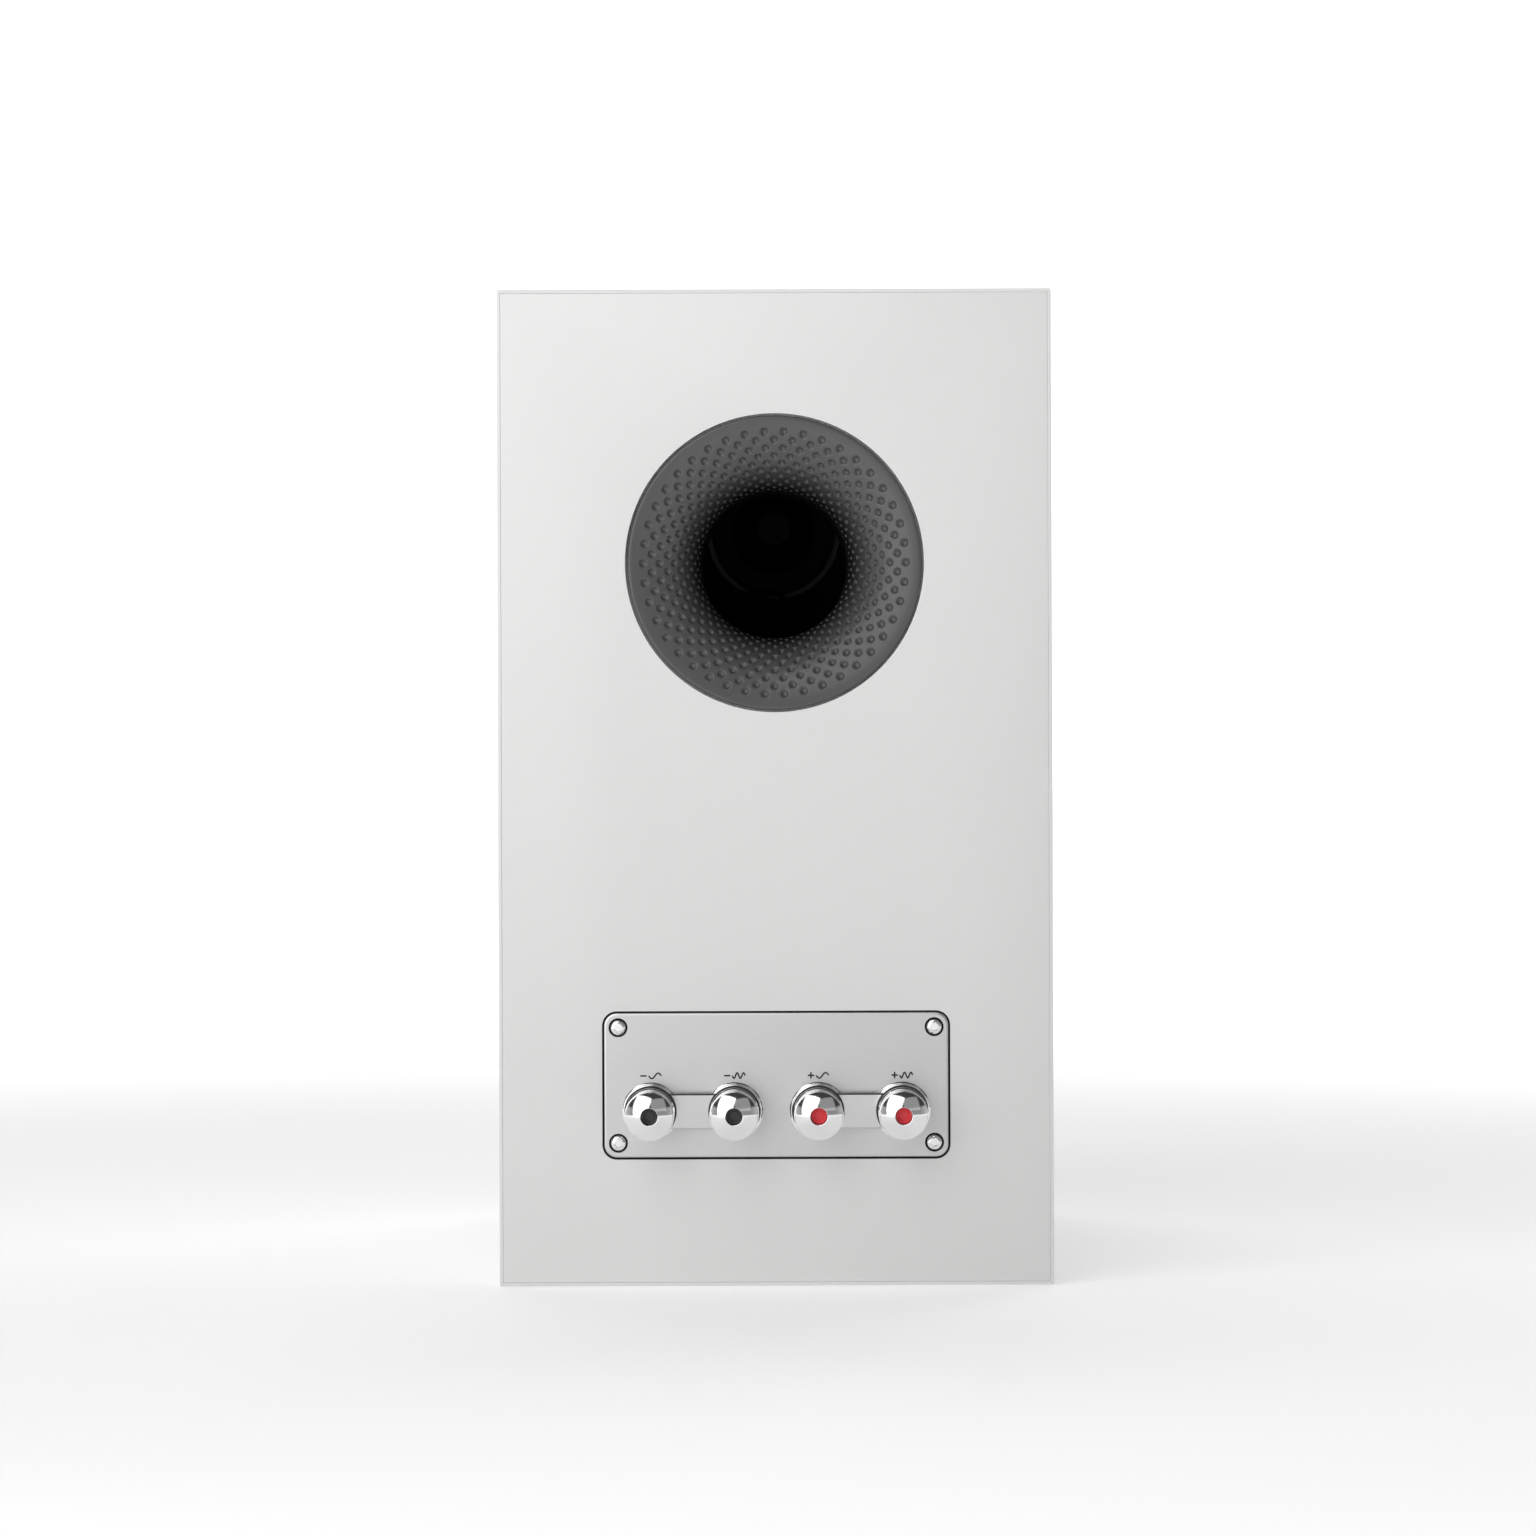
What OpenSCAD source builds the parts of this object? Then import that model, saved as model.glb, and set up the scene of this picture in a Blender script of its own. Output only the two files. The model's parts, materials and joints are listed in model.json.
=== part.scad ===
// Two-way bookshelf loudspeaker: a panelled cabinet with a flared reflex port and a
// bi-wire terminal plate on its back, and a bass-midrange and a tweeter on its front.
// Millimetres. +Z is up, the drive units face -Y and the terminals face +Y. The origin is
// on the floor, under the middle of the overall box.

/* [Cabinet] */
// Width of the cabinet
cabinet_w = 192; // [190:1:204]
// Height of the cabinet
cabinet_h = 345; // [342:1:370]
// Overall depth, from the front trim ring to the tips of the binding posts
overall_d = 297; // [292:1:320]
// Thickness of the top, bottom and side panels
wall_t = 15; // [13:0.5:17]
// Thickness of the rear panel
rear_t = 16; // [15:0.5:18]
// Thickness of the front baffle at its crown
baffle_t = 28; // [27:0.5:30]
// How far the curved front falls away at the sides
baffle_sag = 9; // [4:0.5:11]

/* [Drive units] */
// Height of the bass-midrange's centre
woofer_z = 124; // [122:1:128]
// Height of the tweeter's centre
tweeter_z = 268; // [264:1:274]
// Spokes in the bass-midrange's basket
spokes = 6; // [4:1:6]

/* [Reflex port] */
// Height of the port's centre
port_z = 250.3; // [248:0.1:254]
// Radius of the port's bore
port_r = 26; // [24:0.5:27]
// Radius of the port's mouth, flush with the rear panel
mouth_r = 51; // [49:0.5:53]
// Length of the port, from mouth to inner end
port_len = 118; // [105:1:125]

/* [Terminals] */
// Width of the terminal plate
plate_w = 119.4; // [118:0.1:122]
// Height of the terminal plate
plate_h = 50.2; // [49:0.1:52]
// Height of the terminal plate's centre
plate_z = 69.4; // [68:0.1:72]
// Distance from one binding post to the next
post_pitch = 29; // [28.5:0.1:29.5]
// Radius of a binding post's knob
knob_r = 8.5; // [8.2:0.05:8.9]

/* [Hidden] */
$fn = 64;

// Cabinet planes. The wrap is what shows of the side, top and bottom panels from behind.
wrap_lip = 1.2;
post_reach = 27;
trim_proud = 2;
pod_proud = 3;
rear_y = overall_d / 2 - post_reach;
inner_rear_y = rear_y - rear_t;
crown_y = -overall_d / 2 + trim_proud + pod_proud;
baffle_back_y = crown_y + baffle_t;
half_w = cabinet_w / 2;
inner_half_w = half_w - wall_t;
inner_top_z = cabinet_h - wall_t;
front_curve_r = (half_w * half_w + baffle_sag * baffle_sag) / (2 * baffle_sag);

// Threaded inserts for a stand, in the bottom panel.
insert_dx = 120;
insert_dy = 160;
insert_r = 4.5;
insert_len = 12;
m6_core_r = 2.5;

// Bass-midrange. Its own axis points into the cabinet from the face of its pod.
woofer_face_y = crown_y - pod_proud;
woofer_pod_r = 88;
flange_r = 82.5;
flange_t = 6;
basket_r = 71;
woofer_hole_r = 72;
surround_seat_r = 74;
roll_mid_r = 62;
roll_r = 5.6;
cone_rim_r = 56;
cone_neck_r = 17;
coil_r = 15.5;
woofer_screw_r = 78.2;
woofer_screws_n = 6;
hub_z = 46;

// Tweeter. Its own axis points into the cabinet from the face of its pod.
tweeter_face_y = crown_y - 1;
tweeter_pod_r = 40.5;
faceplate_r = 38;
tweeter_hole_r = 26;
dome_r = 12.6;
tweeter_screw_r = 33.5;

// Port. Depth is counted from the rear face into the cabinet.
port_wall = 2.5;
flare_r = mouth_r - port_r;
flange_depth = 4;
tail_end = 45;
lap_start = 36;
inner_lap = 12;
inner_flare_r = 12;
inner_start = port_len - inner_flare_r - 14;

// Terminal plate. Reach is counted outwards from the rear face.
plate_t = 2.5;
plate_sink = 0.2;
plate_gap = 0.6;
plate_corner_r = 4.5;
gasket_t = 1;
rebate_depth = plate_sink + plate_t + gasket_t;
post_drop = 8.8;
post_z = plate_z - post_drop;
cutout_w = 101.6;
cutout_h = 17;
plate_screw_dx = 109.5;
plate_screw_dz = 40;
post_x = [1.5 * post_pitch, 0.5 * post_pitch, -0.5 * post_pitch, -1.5 * post_pitch];
stem_r = 3;
stem_tip = 21;
stem_back = -12;
socket_r = 2.02;
running_r = stem_r + 0.08;
collar_front = 2.4;
strap_t = 1.5;
strap_h = 12.3;
washer_back = 3.95;
washer_front = 6.4;
washer_r = 9;
knob_back = 6.5;
shoulder = 21.6;
plug_head_r = 2.8;
plug_front = post_reach - 2.6;
knob_hole_r = plug_head_r + 0.1;
knob_waist_r = 7.3;
knob_dome_r = 11.8;
dome_centre = post_reach - sqrt(knob_dome_r * knob_dome_r - knob_hole_r * knob_hole_r);

// Crossover board, on standoffs above the bottom panel.
board_w = 130;
board_y0 = -5;
board_y1 = 80;
board_z = wall_t + 9;
board_t = 1.6;
on_board = board_z + board_t + 0.2;

// ---------- shared shapes ----------

// Points on an arc about [cx, cy], from angle a0 to a1 in n steps.
function arc(cx, cy, r, a0, a1, n = 12) =
  [for (i = [0 : n]) let (a = a0 + (a1 - a0) * i / n) [cx + r * cos(a), cy + r * sin(a)]];

// A rectangle with round corners.
module rounded_rect(w, h, r) {
  square([w - 2 * r, h], center = true);
  square([w, h - 2 * r], center = true);
  for (x = [-1, 1], y = [-1, 1])
    translate([x * (w / 2 - r), y * (h / 2 - r)]) circle(r);
}

module ring(r_out, r_in, z0, z1) {
  translate([0, 0, z0]) difference() {
    cylinder(r = r_out, h = z1 - z0);
    translate([0, 0, -1]) cylinder(r = r_in, h = z1 - z0 + 2);
  }
}

module box(low, high) {
  translate(low) cube(high - low);
}

// Places children so that their +Z points into the cabinet from the front.
module into_front(face_y, z) {
  translate([0, face_y, z]) rotate([-90, 0, 0]) children();
}

// Places children so that their +Z points out of the rear face, and their +Y points down.
module out_of_rear(x, z) {
  translate([x, rear_y, z]) rotate([-90, 0, 0]) children();
}

module at_posts() {
  for (x = post_x) out_of_rear(x, post_z) children();
}

module around(n, r, start = 0) {
  for (i = [0 : n - 1]) rotate(start + i * 360 / n) translate([r, 0, 0]) children();
}

// ---------- a round wire swept along hand-placed points ----------

function unit(v) = v / norm(v);

// A point on the smooth curve through the points p, at parameter t from 0 to len(p) - 1.
function spline_at(p, t) =
  let (
    n = len(p) - 1,
    i = min(floor(t), n - 1),
    u = t - i,
    a = p[max(i - 1, 0)],
    b = p[i],
    c = p[i + 1],
    d = p[min(i + 2, n)]
  )
  0.5 * (2 * b + (c - a) * u + (2 * a - 5 * b + 4 * c - d) * u * u
    + (3 * b - a - 3 * c + d) * u * u * u);

module wire(points, r, steps = 3, sides = 6) {
  n = (len(points) - 1) * steps;
  path = [for (k = [0 : n]) spline_at(points, k / steps)];
  rings = [for (k = [0 : n])
    let (
      along = unit(path[min(k + 1, n)] - path[max(k - 1, 0)]),
      side = unit(cross(along, [0.94, 0.2, 0.28])),
      up = cross(along, side)
    )
    [for (s = [0 : sides - 1]) path[k] + r * (cos(s * 360 / sides) * side + sin(s * 360 / sides) * up)]];
  polyhedron(
    points = [for (one = rings) each one],
    faces = concat(
      [[for (s = [0 : sides - 1]) s]],
      [for (k = [0 : n - 1], s = [0 : sides - 1])
        let (a = k * sides + s, b = k * sides + (s + 1) % sides) [a, a + sides, b + sides, b]],
      [[for (s = [sides - 1 : -1 : 0]) n * sides + s]]
    )
  );
}

// ---------- cabinet ----------

// The recess that the rear panel fills, inside the lips of the wrap.
module rear_recess() {
  box([-half_w + wrap_lip, inner_rear_y, wrap_lip], [half_w - wrap_lip, rear_y + 1, cabinet_h - wrap_lip]);
}

// A wrap panel: a mitred outline in X and Z, run from the baffle to the rear face.
module wrap_panel(outline) {
  color("whitesmoke") difference() {
    translate([0, rear_y, 0]) rotate([90, 0, 0]) linear_extrude(rear_y - baffle_back_y) polygon(outline);
    rear_recess();
  }
}

module left_side_panel() {
  wrap_panel([[-half_w, 0], [-inner_half_w, wall_t], [-inner_half_w, inner_top_z], [-half_w, cabinet_h]]);
}

module right_side_panel() {
  wrap_panel([[half_w, 0], [half_w, cabinet_h], [inner_half_w, inner_top_z], [inner_half_w, wall_t]]);
}

module top_panel() {
  wrap_panel([[-half_w, cabinet_h], [-inner_half_w, inner_top_z], [inner_half_w, inner_top_z],
    [half_w, cabinet_h]]);
}

module at_inserts() {
  for (x = [-1, 1], y = [-1, 1]) translate([x * insert_dx / 2, y * insert_dy / 2, 0]) children();
}

module bottom_panel() {
  difference() {
    wrap_panel([[-half_w, 0], [half_w, 0], [inner_half_w, wall_t], [-inner_half_w, wall_t]]);
    at_inserts() translate([0, 0, -1]) cylinder(r = insert_r + 0.05, h = insert_len + 1.5);
  }
}

module base_inserts() {
  color("silver") at_inserts() ring(insert_r, m6_core_r, 0, insert_len);
}

module rear_panel() {
  color("whitesmoke") difference() {
    box([-half_w + wrap_lip, inner_rear_y, wrap_lip], [half_w - wrap_lip, rear_y, cabinet_h - wrap_lip]);
    out_of_rear(0, port_z) {
      translate([0, 0, -flange_depth]) cylinder(r = mouth_r + 0.1, h = flange_depth + 1);
      translate([0, 0, -rear_t - 1]) cylinder(r = mouth_r - 7, h = rear_t + 2);
    }
    out_of_rear(0, plate_z) {
      translate([0, 0, -rebate_depth]) linear_extrude(rebate_depth + 1)
        rounded_rect(plate_w + 2 * plate_gap, plate_h + 2 * plate_gap, plate_corner_r + plate_gap);
      plate_screw_places() translate([0, 0, -rear_t + 2]) cylinder(r = 1.25, h = rear_t);
    }
    out_of_rear(0, post_z) translate([0, 0, -rear_t - 1]) linear_extrude(rear_t + 2)
      rounded_rect(cutout_w, cutout_h, 4);
  }
}

module baffle_blank() {
  intersection() {
    box([-half_w, crown_y - 1, 0], [half_w, baffle_back_y, cabinet_h]);
    translate([0, crown_y + front_curve_r, -1]) cylinder(r = front_curve_r, h = cabinet_h + 2, $fn = 256);
  }
  into_front(woofer_face_y, woofer_z) pod(woofer_pod_r);
  into_front(tweeter_face_y, tweeter_z) pod(tweeter_pod_r);
}

// A round boss that gives a drive unit a flat seat on the curved front.
module pod(r, chamfer = 1) {
  cylinder(r1 = r - chamfer, r2 = r, h = chamfer);
  translate([0, 0, chamfer]) cylinder(r = r, h = baffle_sag + pod_proud);
}

module front_baffle() {
  color("whitesmoke") difference() {
    baffle_blank();
    into_front(woofer_face_y, woofer_z) {
      translate([0, 0, -1]) cylinder(r = flange_r + 0.2, h = flange_t + 1);
      cylinder(r = woofer_hole_r, h = baffle_t + pod_proud + 2);
      around(woofer_screws_n, woofer_screw_r, 15) cylinder(r = 1.95, h = 25);
    }
    into_front(tweeter_face_y, tweeter_z) {
      translate([0, 0, -1]) cylinder(r = faceplate_r + 0.2, h = 5);
      cylinder(r = tweeter_hole_r, h = baffle_t + pod_proud);
      around(4, tweeter_screw_r, 45) cylinder(r = 1.25, h = 17);
    }
  }
}

// A window brace between the two drive units' volumes.
module shelf_brace() {
  brace_z = 199;
  window_w = 54;
  window_d = 170;
  color("burlywood") translate([0, (inner_rear_y + baffle_back_y) / 2, brace_z]) linear_extrude(12) difference() {
    square([2 * inner_half_w, inner_rear_y - baffle_back_y], center = true);
    for (side = [-1, 1]) translate([side * 39, 0]) rounded_rect(window_w, window_d, 12);
  }
}

module foam_lining() {
  pad_t = 12;
  gap = 0.2;
  side_x = inner_half_w - gap;
  color("dimgray") {
    for (side = [0, 1]) mirror([side, 0, 0]) {
      box([side_x - pad_t, -100, 30], [side_x, 95, 190]);
      box([side_x - pad_t, -100, 218], [side_x, 95, inner_top_z - pad_t - 2]);
    }
    box([-66, -95, inner_top_z - gap - pad_t], [66, 90, inner_top_z - gap]);
    box([-62, inner_rear_y - gap - pad_t, 84], [62, inner_rear_y - gap, 190]);
  }
}

// ---------- reflex port ----------

module port_flare() {
  outer = port_r + port_wall;
  color("dimgray") out_of_rear(0, port_z) rotate_extrude($fn = 128) polygon(concat(
    arc(mouth_r, -flare_r, flare_r, 90, 180, 14),
    [[port_r, -tail_end], [outer - 1.2, -tail_end], [outer - 1.2, -lap_start], [outer, -lap_start]],
    arc(mouth_r, -flare_r - 1, mouth_r - outer, 180, 122, 8),
    [[mouth_r - 7.2, -flange_depth - 0.05], [mouth_r - 7.2, -flange_depth], [mouth_r, -flange_depth]]
  ));
}

module port_tube() {
  lap_r = port_r + port_wall - 1.1;
  color("dimgray") out_of_rear(0, port_z) rotate_extrude($fn = 128) polygon([
    [lap_r, -lap_start - 0.1], [lap_r + 2.2, -lap_start - 0.1], [lap_r + 2.2, -tail_end - 2],
    [port_r + port_wall, -tail_end - 3.5], [port_r + port_wall, -inner_start], [port_r, -inner_start],
    [port_r, -tail_end - 0.05], [lap_r, -tail_end - 0.05]
  ]);
}

module port_inner_flare() {
  socket = port_r + port_wall + 0.1;
  lip = inner_start + 0.1;
  end = lip + 14 + inner_flare_r;
  color("dimgray") out_of_rear(0, port_z) rotate_extrude($fn = 128) polygon(concat(
    [[socket, -inner_start + inner_lap], [socket + 2, -inner_start + inner_lap], [socket + 2, -end + inner_flare_r]],
    arc(port_r + inner_flare_r, -end + inner_flare_r, inner_flare_r - 4.5, 180, 262, 8),
    [[port_r + inner_flare_r, -end]],
    arc(port_r + inner_flare_r, -end + inner_flare_r, inner_flare_r, 262, 180, 8),
    [[port_r, -lip], [socket, -lip]]
  ));
}

// ---------- terminal plate and binding posts ----------

module plate_screw_places() {
  for (x = [-1, 1], y = [-1, 1])
    translate([x * plate_screw_dx / 2, y * plate_screw_dz / 2, 0]) children();
}

module terminal_plate() {
  front = -plate_sink;
  back = front - plate_t;
  color("silver") difference() {
    out_of_rear(0, plate_z) translate([0, 0, back]) linear_extrude(plate_t)
      rounded_rect(plate_w, plate_h, plate_corner_r);
    out_of_rear(0, plate_z) plate_screw_places() {
      translate([0, 0, back - 1]) cylinder(r = 1.75, h = plate_t + 2);
      translate([0, 0, front - 1.4]) cylinder(r = 3.3, h = 2);
    }
    at_posts() translate([0, 0, back - 1]) cylinder(r = 5.1, h = plate_t + 2);
  }
}

module terminal_gasket() {
  color("black") out_of_rear(0, plate_z) translate([0, 0, -rebate_depth]) linear_extrude(gasket_t) difference() {
    rounded_rect(plate_w - 1, plate_h - 1, plate_corner_r - 0.5);
    translate([0, post_drop]) rounded_rect(cutout_w, cutout_h, 4);
    plate_screw_places() circle(1.75);
  }
}

// Button-head screws with a hexagon socket, sunk in the plate's counterbores.
module terminal_screws() {
  seat = -plate_sink - 1.35;
  color("silver") out_of_rear(0, plate_z) plate_screw_places() difference() {
    union() {
      translate([0, 0, seat]) rotate_extrude() polygon(concat(
        [[0, 0], [2.8, 0]], arc(1.6, 0.4, 1.2, 0, 78, 5), [[1.5, 1.65], [0, 1.65]]));
      translate([0, 0, -rear_t + 3]) cylinder(r = 1.2, h = rear_t - 3 + seat + 0.1);
    }
    translate([0, 0, seat + 0.5]) cylinder(r = 1.4, h = 3, $fn = 6);
  }
}

module post_stems() {
  color("silver") at_posts() difference() {
    translate([0, 0, stem_back]) cylinder(r = stem_r, h = stem_tip - stem_back);
    translate([0, 0, 8]) cylinder(r = socket_r, h = stem_tip - 7);
    translate([0, 0, 5.2]) rotate([90, 0, 0]) cylinder(r = 1.3, h = 10, center = true);
  }
}

module post_bushings() {
  front = -plate_sink;
  color("black") at_posts() {
    difference() {
      union() {
        translate([0, 0, front - plate_t - 0.5]) cylinder(r = 5.05, h = plate_t + 0.5);
        translate([0, 0, front - plate_t - 3]) cylinder(r = 6.5, h = 3);
      }
      translate([0, 0, -20]) cylinder(r = running_r, h = 30);
    }
  }
}

// A stepped collar on each post, standing on the plate.
module post_collars() {
  color("silver") at_posts() rotate_extrude() polygon([
    [running_r, -plate_sink], [9.9, -plate_sink], [9.9, 0.5], [9.5, 0.9], [9.2, 0.9],
    [9.2, collar_front - 0.4], [8.8, collar_front], [running_r, collar_front]
  ]);
}

// A solder lug and a hexagon nut behind each post.
module post_nuts() {
  back = -plate_sink - plate_t - 3;
  lug_t = 0.8;
  color("goldenrod") at_posts() {
    difference() {
      union() {
        translate([0, 0, back - lug_t]) cylinder(r = 5.5, h = lug_t);
        box([-2, 0, back - lug_t], [2, 8, back]);
      }
      translate([0, 0, back - 5]) cylinder(r = running_r, h = 10);
    }
    difference() {
      translate([0, 0, back - lug_t - 3.4]) cylinder(r = 5.4, h = 3.35, $fn = 6);
      translate([0, 0, back - 8]) cylinder(r = running_r, h = 10);
    }
  }
}

// A flat strap joins the two negative posts, and another the two positive posts.
module link_straps() {
  color("silver") for (side = [-1, 1]) out_of_rear(side * post_pitch, post_z)
    translate([0, 0, collar_front]) linear_extrude(strap_t) difference() {
      rounded_rect(post_pitch + strap_h, strap_h, strap_h / 2 - 0.01);
      for (x = [-1, 1]) translate([x * post_pitch / 2, 0]) circle(running_r + 0.1);
    }
}

// A moulded ring that the knob presses on the wire or the strap.
module clamp_washer(i) {
  color("black") out_of_rear(post_x[i], post_z) rotate_extrude() polygon([
    [running_r, washer_back], [washer_r - 0.5, washer_back], [washer_r, washer_back + 0.5],
    [washer_r, washer_front - 0.6], [washer_r - 0.6, washer_front], [running_r, washer_front]
  ]);
}

// A rim, a narrow waist and a flared barrel with a domed end. The hole in the end takes the plug.
module post_knob(i) {
  rim = knob_back + 2.2;
  waist = rim + 1.4;
  dome_edge = acos((knob_r - 0.3) / knob_dome_r);
  barrel_end = dome_centre + knob_dome_r * sin(dome_edge) - 0.4;
  color("gainsboro") out_of_rear(post_x[i], post_z) rotate_extrude($fn = 96) polygon(concat(
    [[running_r, knob_back], [knob_r - 0.5, knob_back], [knob_r, knob_back + 0.5], [knob_r, rim - 0.5],
      [knob_r - 0.4, rim], [knob_waist_r, waist], [knob_waist_r, waist + 1],
      [knob_r, barrel_end - 3], [knob_r, barrel_end]],
    arc(0, dome_centre, knob_dome_r, dome_edge, acos(knob_hole_r / knob_dome_r), 16),
    [[knob_hole_r, shoulder], [running_r, shoulder]]
  ));
}

module socket_plug(i, tint) {
  color(tint) out_of_rear(post_x[i], post_z) rotate_extrude() polygon([
    [0, 9.2], [1.5, 9.2], [1.9, 9.8], [1.9, shoulder + 0.5], [plug_head_r, shoulder + 0.5],
    [plug_head_r, plug_front - 0.3], [plug_head_r - 0.3, plug_front], [1.9, plug_front],
    [1.6, plug_front - 0.5], [0, plug_front - 0.5]
  ]);
}

// ---------- bass-midrange ----------

module in_woofer() {
  into_front(woofer_face_y, woofer_z) children();
}

module woofer_basket() {
  arm_w = 12;
  color("darkgray") in_woofer() {
    difference() {
      rotate_extrude($fn = 128) polygon([
        [68, 4.5], [surround_seat_r, 4.5], [surround_seat_r, 0], [flange_r, 0], [flange_r, flange_t],
        [basket_r, flange_t], [basket_r, 16], [68, 16]
      ]);
      around(woofer_screws_n, woofer_screw_r, 15) {
        translate([0, 0, -0.01]) cylinder(r1 = 3.65, r2 = 2, h = 2.3);
        cylinder(r = 2, h = flange_t + 1);
      }
    }
    rotate_extrude() polygon([[44, 36], [50, 36], [50, hub_z], [22, hub_z], [22, hub_z - 3], [44, hub_z - 3]]);
    for (i = [0 : spokes - 1]) rotate(i * 360 / spokes) translate([0, arm_w / 2, 0]) rotate([90, 0, 0])
      linear_extrude(arm_w) polygon([[68.5, 8], [70.6, 8], [70.6, 15.5], [49.5, hub_z - 0.5], [45, hub_z - 0.5],
        [45, 38], [47.5, 36.6]]);
    box([-9, 49, 40], [9, 58, 42]);
  }
}

module woofer_trim_ring() {
  color("silver") in_woofer() rotate_extrude($fn = 128) polygon([
    [73.4, 0], [73.4, -0.6], [74.6, -1.6], [76, -trim_proud], [84, -trim_proud], [85, -1.2], [85, 0]
  ]);
}

module woofer_gasket() {
  color("black") in_woofer() rotate_extrude($fn = 128) polygon([
    [69, 3.65], [69, 2.8], [73.2, 0.4], [73.8, 0.4], [73.8, 3.65]
  ]);
}

// A half-roll of rubber between the cone's rim and the basket.
module woofer_surround() {
  lip = 4.5;
  skin = 0.8;
  color("black") in_woofer() rotate_extrude($fn = 128) polygon(concat(
    [[73.7, lip], [73.7, lip - skin]],
    arc(roll_mid_r, lip - skin, roll_r, 0, -180, 16),
    [[52.8, lip - skin], [52.8, lip], [roll_mid_r - roll_r + skin, lip]],
    arc(roll_mid_r, lip - skin, roll_r - skin, -180, 0, 16),
    [[roll_mid_r + roll_r - skin, lip]]
  ));
}

// Depth of the cone's front face at radius r. It is flat at the rim, then falls to the neck.
function cone_depth(r) = 4.6 + 22.9 * pow((52.5 - min(r, 52.5)) / (52.5 - cone_neck_r), 1.12);

module woofer_cone() {
  steps = 8;
  skin = 1;
  radii = [for (i = [0 : steps]) 52.5 + (cone_neck_r - 52.5) * i / steps];
  color("lightgray") in_woofer() rotate_extrude($fn = 128) polygon(concat(
    [[cone_rim_r, cone_depth(cone_rim_r) + skin], [cone_rim_r, cone_depth(cone_rim_r)]],
    [for (r = radii) [r, cone_depth(r)]],
    [[coil_r + 0.5, cone_depth(cone_neck_r)], [coil_r + 0.5, 31], [cone_neck_r, 31]],
    [for (i = [steps : -1 : 0]) [radii[i], cone_depth(radii[i]) + skin + 0.2]]
  ));
}

module woofer_dust_cap() {
  rim_r = 20.5;
  rise = 9;
  cap_r = (rim_r * rim_r + rise * rise) / (2 * rise);
  rim_z = cone_depth(rim_r) - 0.1;
  half_angle = asin(rim_r / cap_r);
  centre = rim_z - rise + cap_r;
  color("gray") in_woofer() rotate_extrude($fn = 96) polygon(concat(
    arc(0, centre, cap_r, -90, -90 + half_angle, 12),
    arc(0, centre, cap_r - 0.8, -90 + half_angle - 0.6, -90, 12)
  ));
}

module woofer_voice_coil() {
  color("orange") in_woofer() {
    ring(coil_r + 0.4, coil_r, 27, 58);
    ring(coil_r + 1.1, coil_r + 0.45, 42, 56);
  }
}

// A corrugated disc that centres the voice coil.
module woofer_spider() {
  r0 = coil_r + 0.5;
  r1 = 47.4;
  waves = 5;
  steps = 30;
  skin = 0.6;
  color("goldenrod") in_woofer() rotate_extrude() polygon(concat(
    [for (i = [0 : steps]) let (r = r0 + (r1 - r0) * i / steps) [r, spider_z(r, waves)]],
    [for (i = [steps : -1 : 0]) let (r = r0 + (r1 - r0) * i / steps) [r, spider_z(r, waves) - skin]]
  ));
}

// The spider's face: waves between a flat rim and a flat collar.
function spider_z(r, waves) = 35.9 - (r > 20 && r < 43 ? 1.3 * (1 - cos((r - 20) / 23 * waves * 360)) / 2 : 0);

module woofer_top_plate() {
  color("gray") in_woofer() ring(47, coil_r + 1.8, hub_z + 0.02, 52);
}

module woofer_magnet() {
  color("darkslategray") in_woofer() ring(50, 26, 52, 68);
}

module woofer_pole_yoke() {
  color("gray") in_woofer() difference() {
    union() {
      translate([0, 0, 68]) cylinder(r = 44, h = 7);
      translate([0, 0, hub_z]) cylinder(r = coil_r - 0.6, h = 23);
    }
    translate([0, 0, hub_z - 1]) cylinder(r = 4, h = 32);
  }
}

module woofer_screws() {
  color("dimgray") in_woofer() around(woofer_screws_n, woofer_screw_r, 15) difference() {
    union() {
      translate([0, 0, 0.05]) cylinder(r1 = 3.55, r2 = 1.85, h = 2.15);
      cylinder(r = 1.85, h = 24);
    }
    translate([0, 0, -0.5]) cylinder(r = 1.5, h = 2, $fn = 6);
  }
}

// ---------- tweeter ----------

module in_tweeter() {
  into_front(tweeter_face_y, tweeter_z) children();
}

// The faceplate has a shallow horn, and a step that seats the mesh.
module tweeter_faceplate() {
  color("silver") in_tweeter() difference() {
    rotate_extrude($fn = 128) polygon(concat(
      [[17.2, 4], [17.2, 2.2], [20, 2.2], [20, 1.5]],
      arc(30, 17, 18, -124, -90, 8),
      [[faceplate_r - 0.7, -1], [faceplate_r, -0.3], [faceplate_r, 4]]
    ));
    around(4, tweeter_screw_r, 45) {
      translate([0, 0, -2]) cylinder(r = 2.4, h = 3.2);
      cylinder(r = 1.3, h = 5);
    }
  }
}

// A domed guard in front of the diaphragm.
module tweeter_mesh() {
  rim_r = 19.8;
  rise = 5.4;
  guard_r = (rim_r * rim_r + rise * rise) / (2 * rise);
  half_angle = asin(rim_r / guard_r);
  centre = 1.9 - rise + guard_r;
  color("dimgray") in_tweeter() rotate_extrude($fn = 96) polygon(concat(
    arc(0, centre, guard_r, -90, -90 + half_angle, 10),
    arc(0, centre, guard_r - 0.5, -90 + half_angle - 0.8, -90, 10)
  ));
}

module tweeter_dome() {
  rise = 5;
  cap_r = (dome_r * dome_r + rise * rise) / (2 * rise);
  half_angle = asin(dome_r / cap_r);
  centre = 4.3 - rise + cap_r;
  color("black") in_tweeter() rotate_extrude($fn = 96) polygon(concat(
    arc(0, centre, cap_r, -90, -90 + half_angle, 10),
    arc(0, centre, cap_r - 0.3, -90 + half_angle - 0.9, -90, 10)
  ));
}

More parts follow.
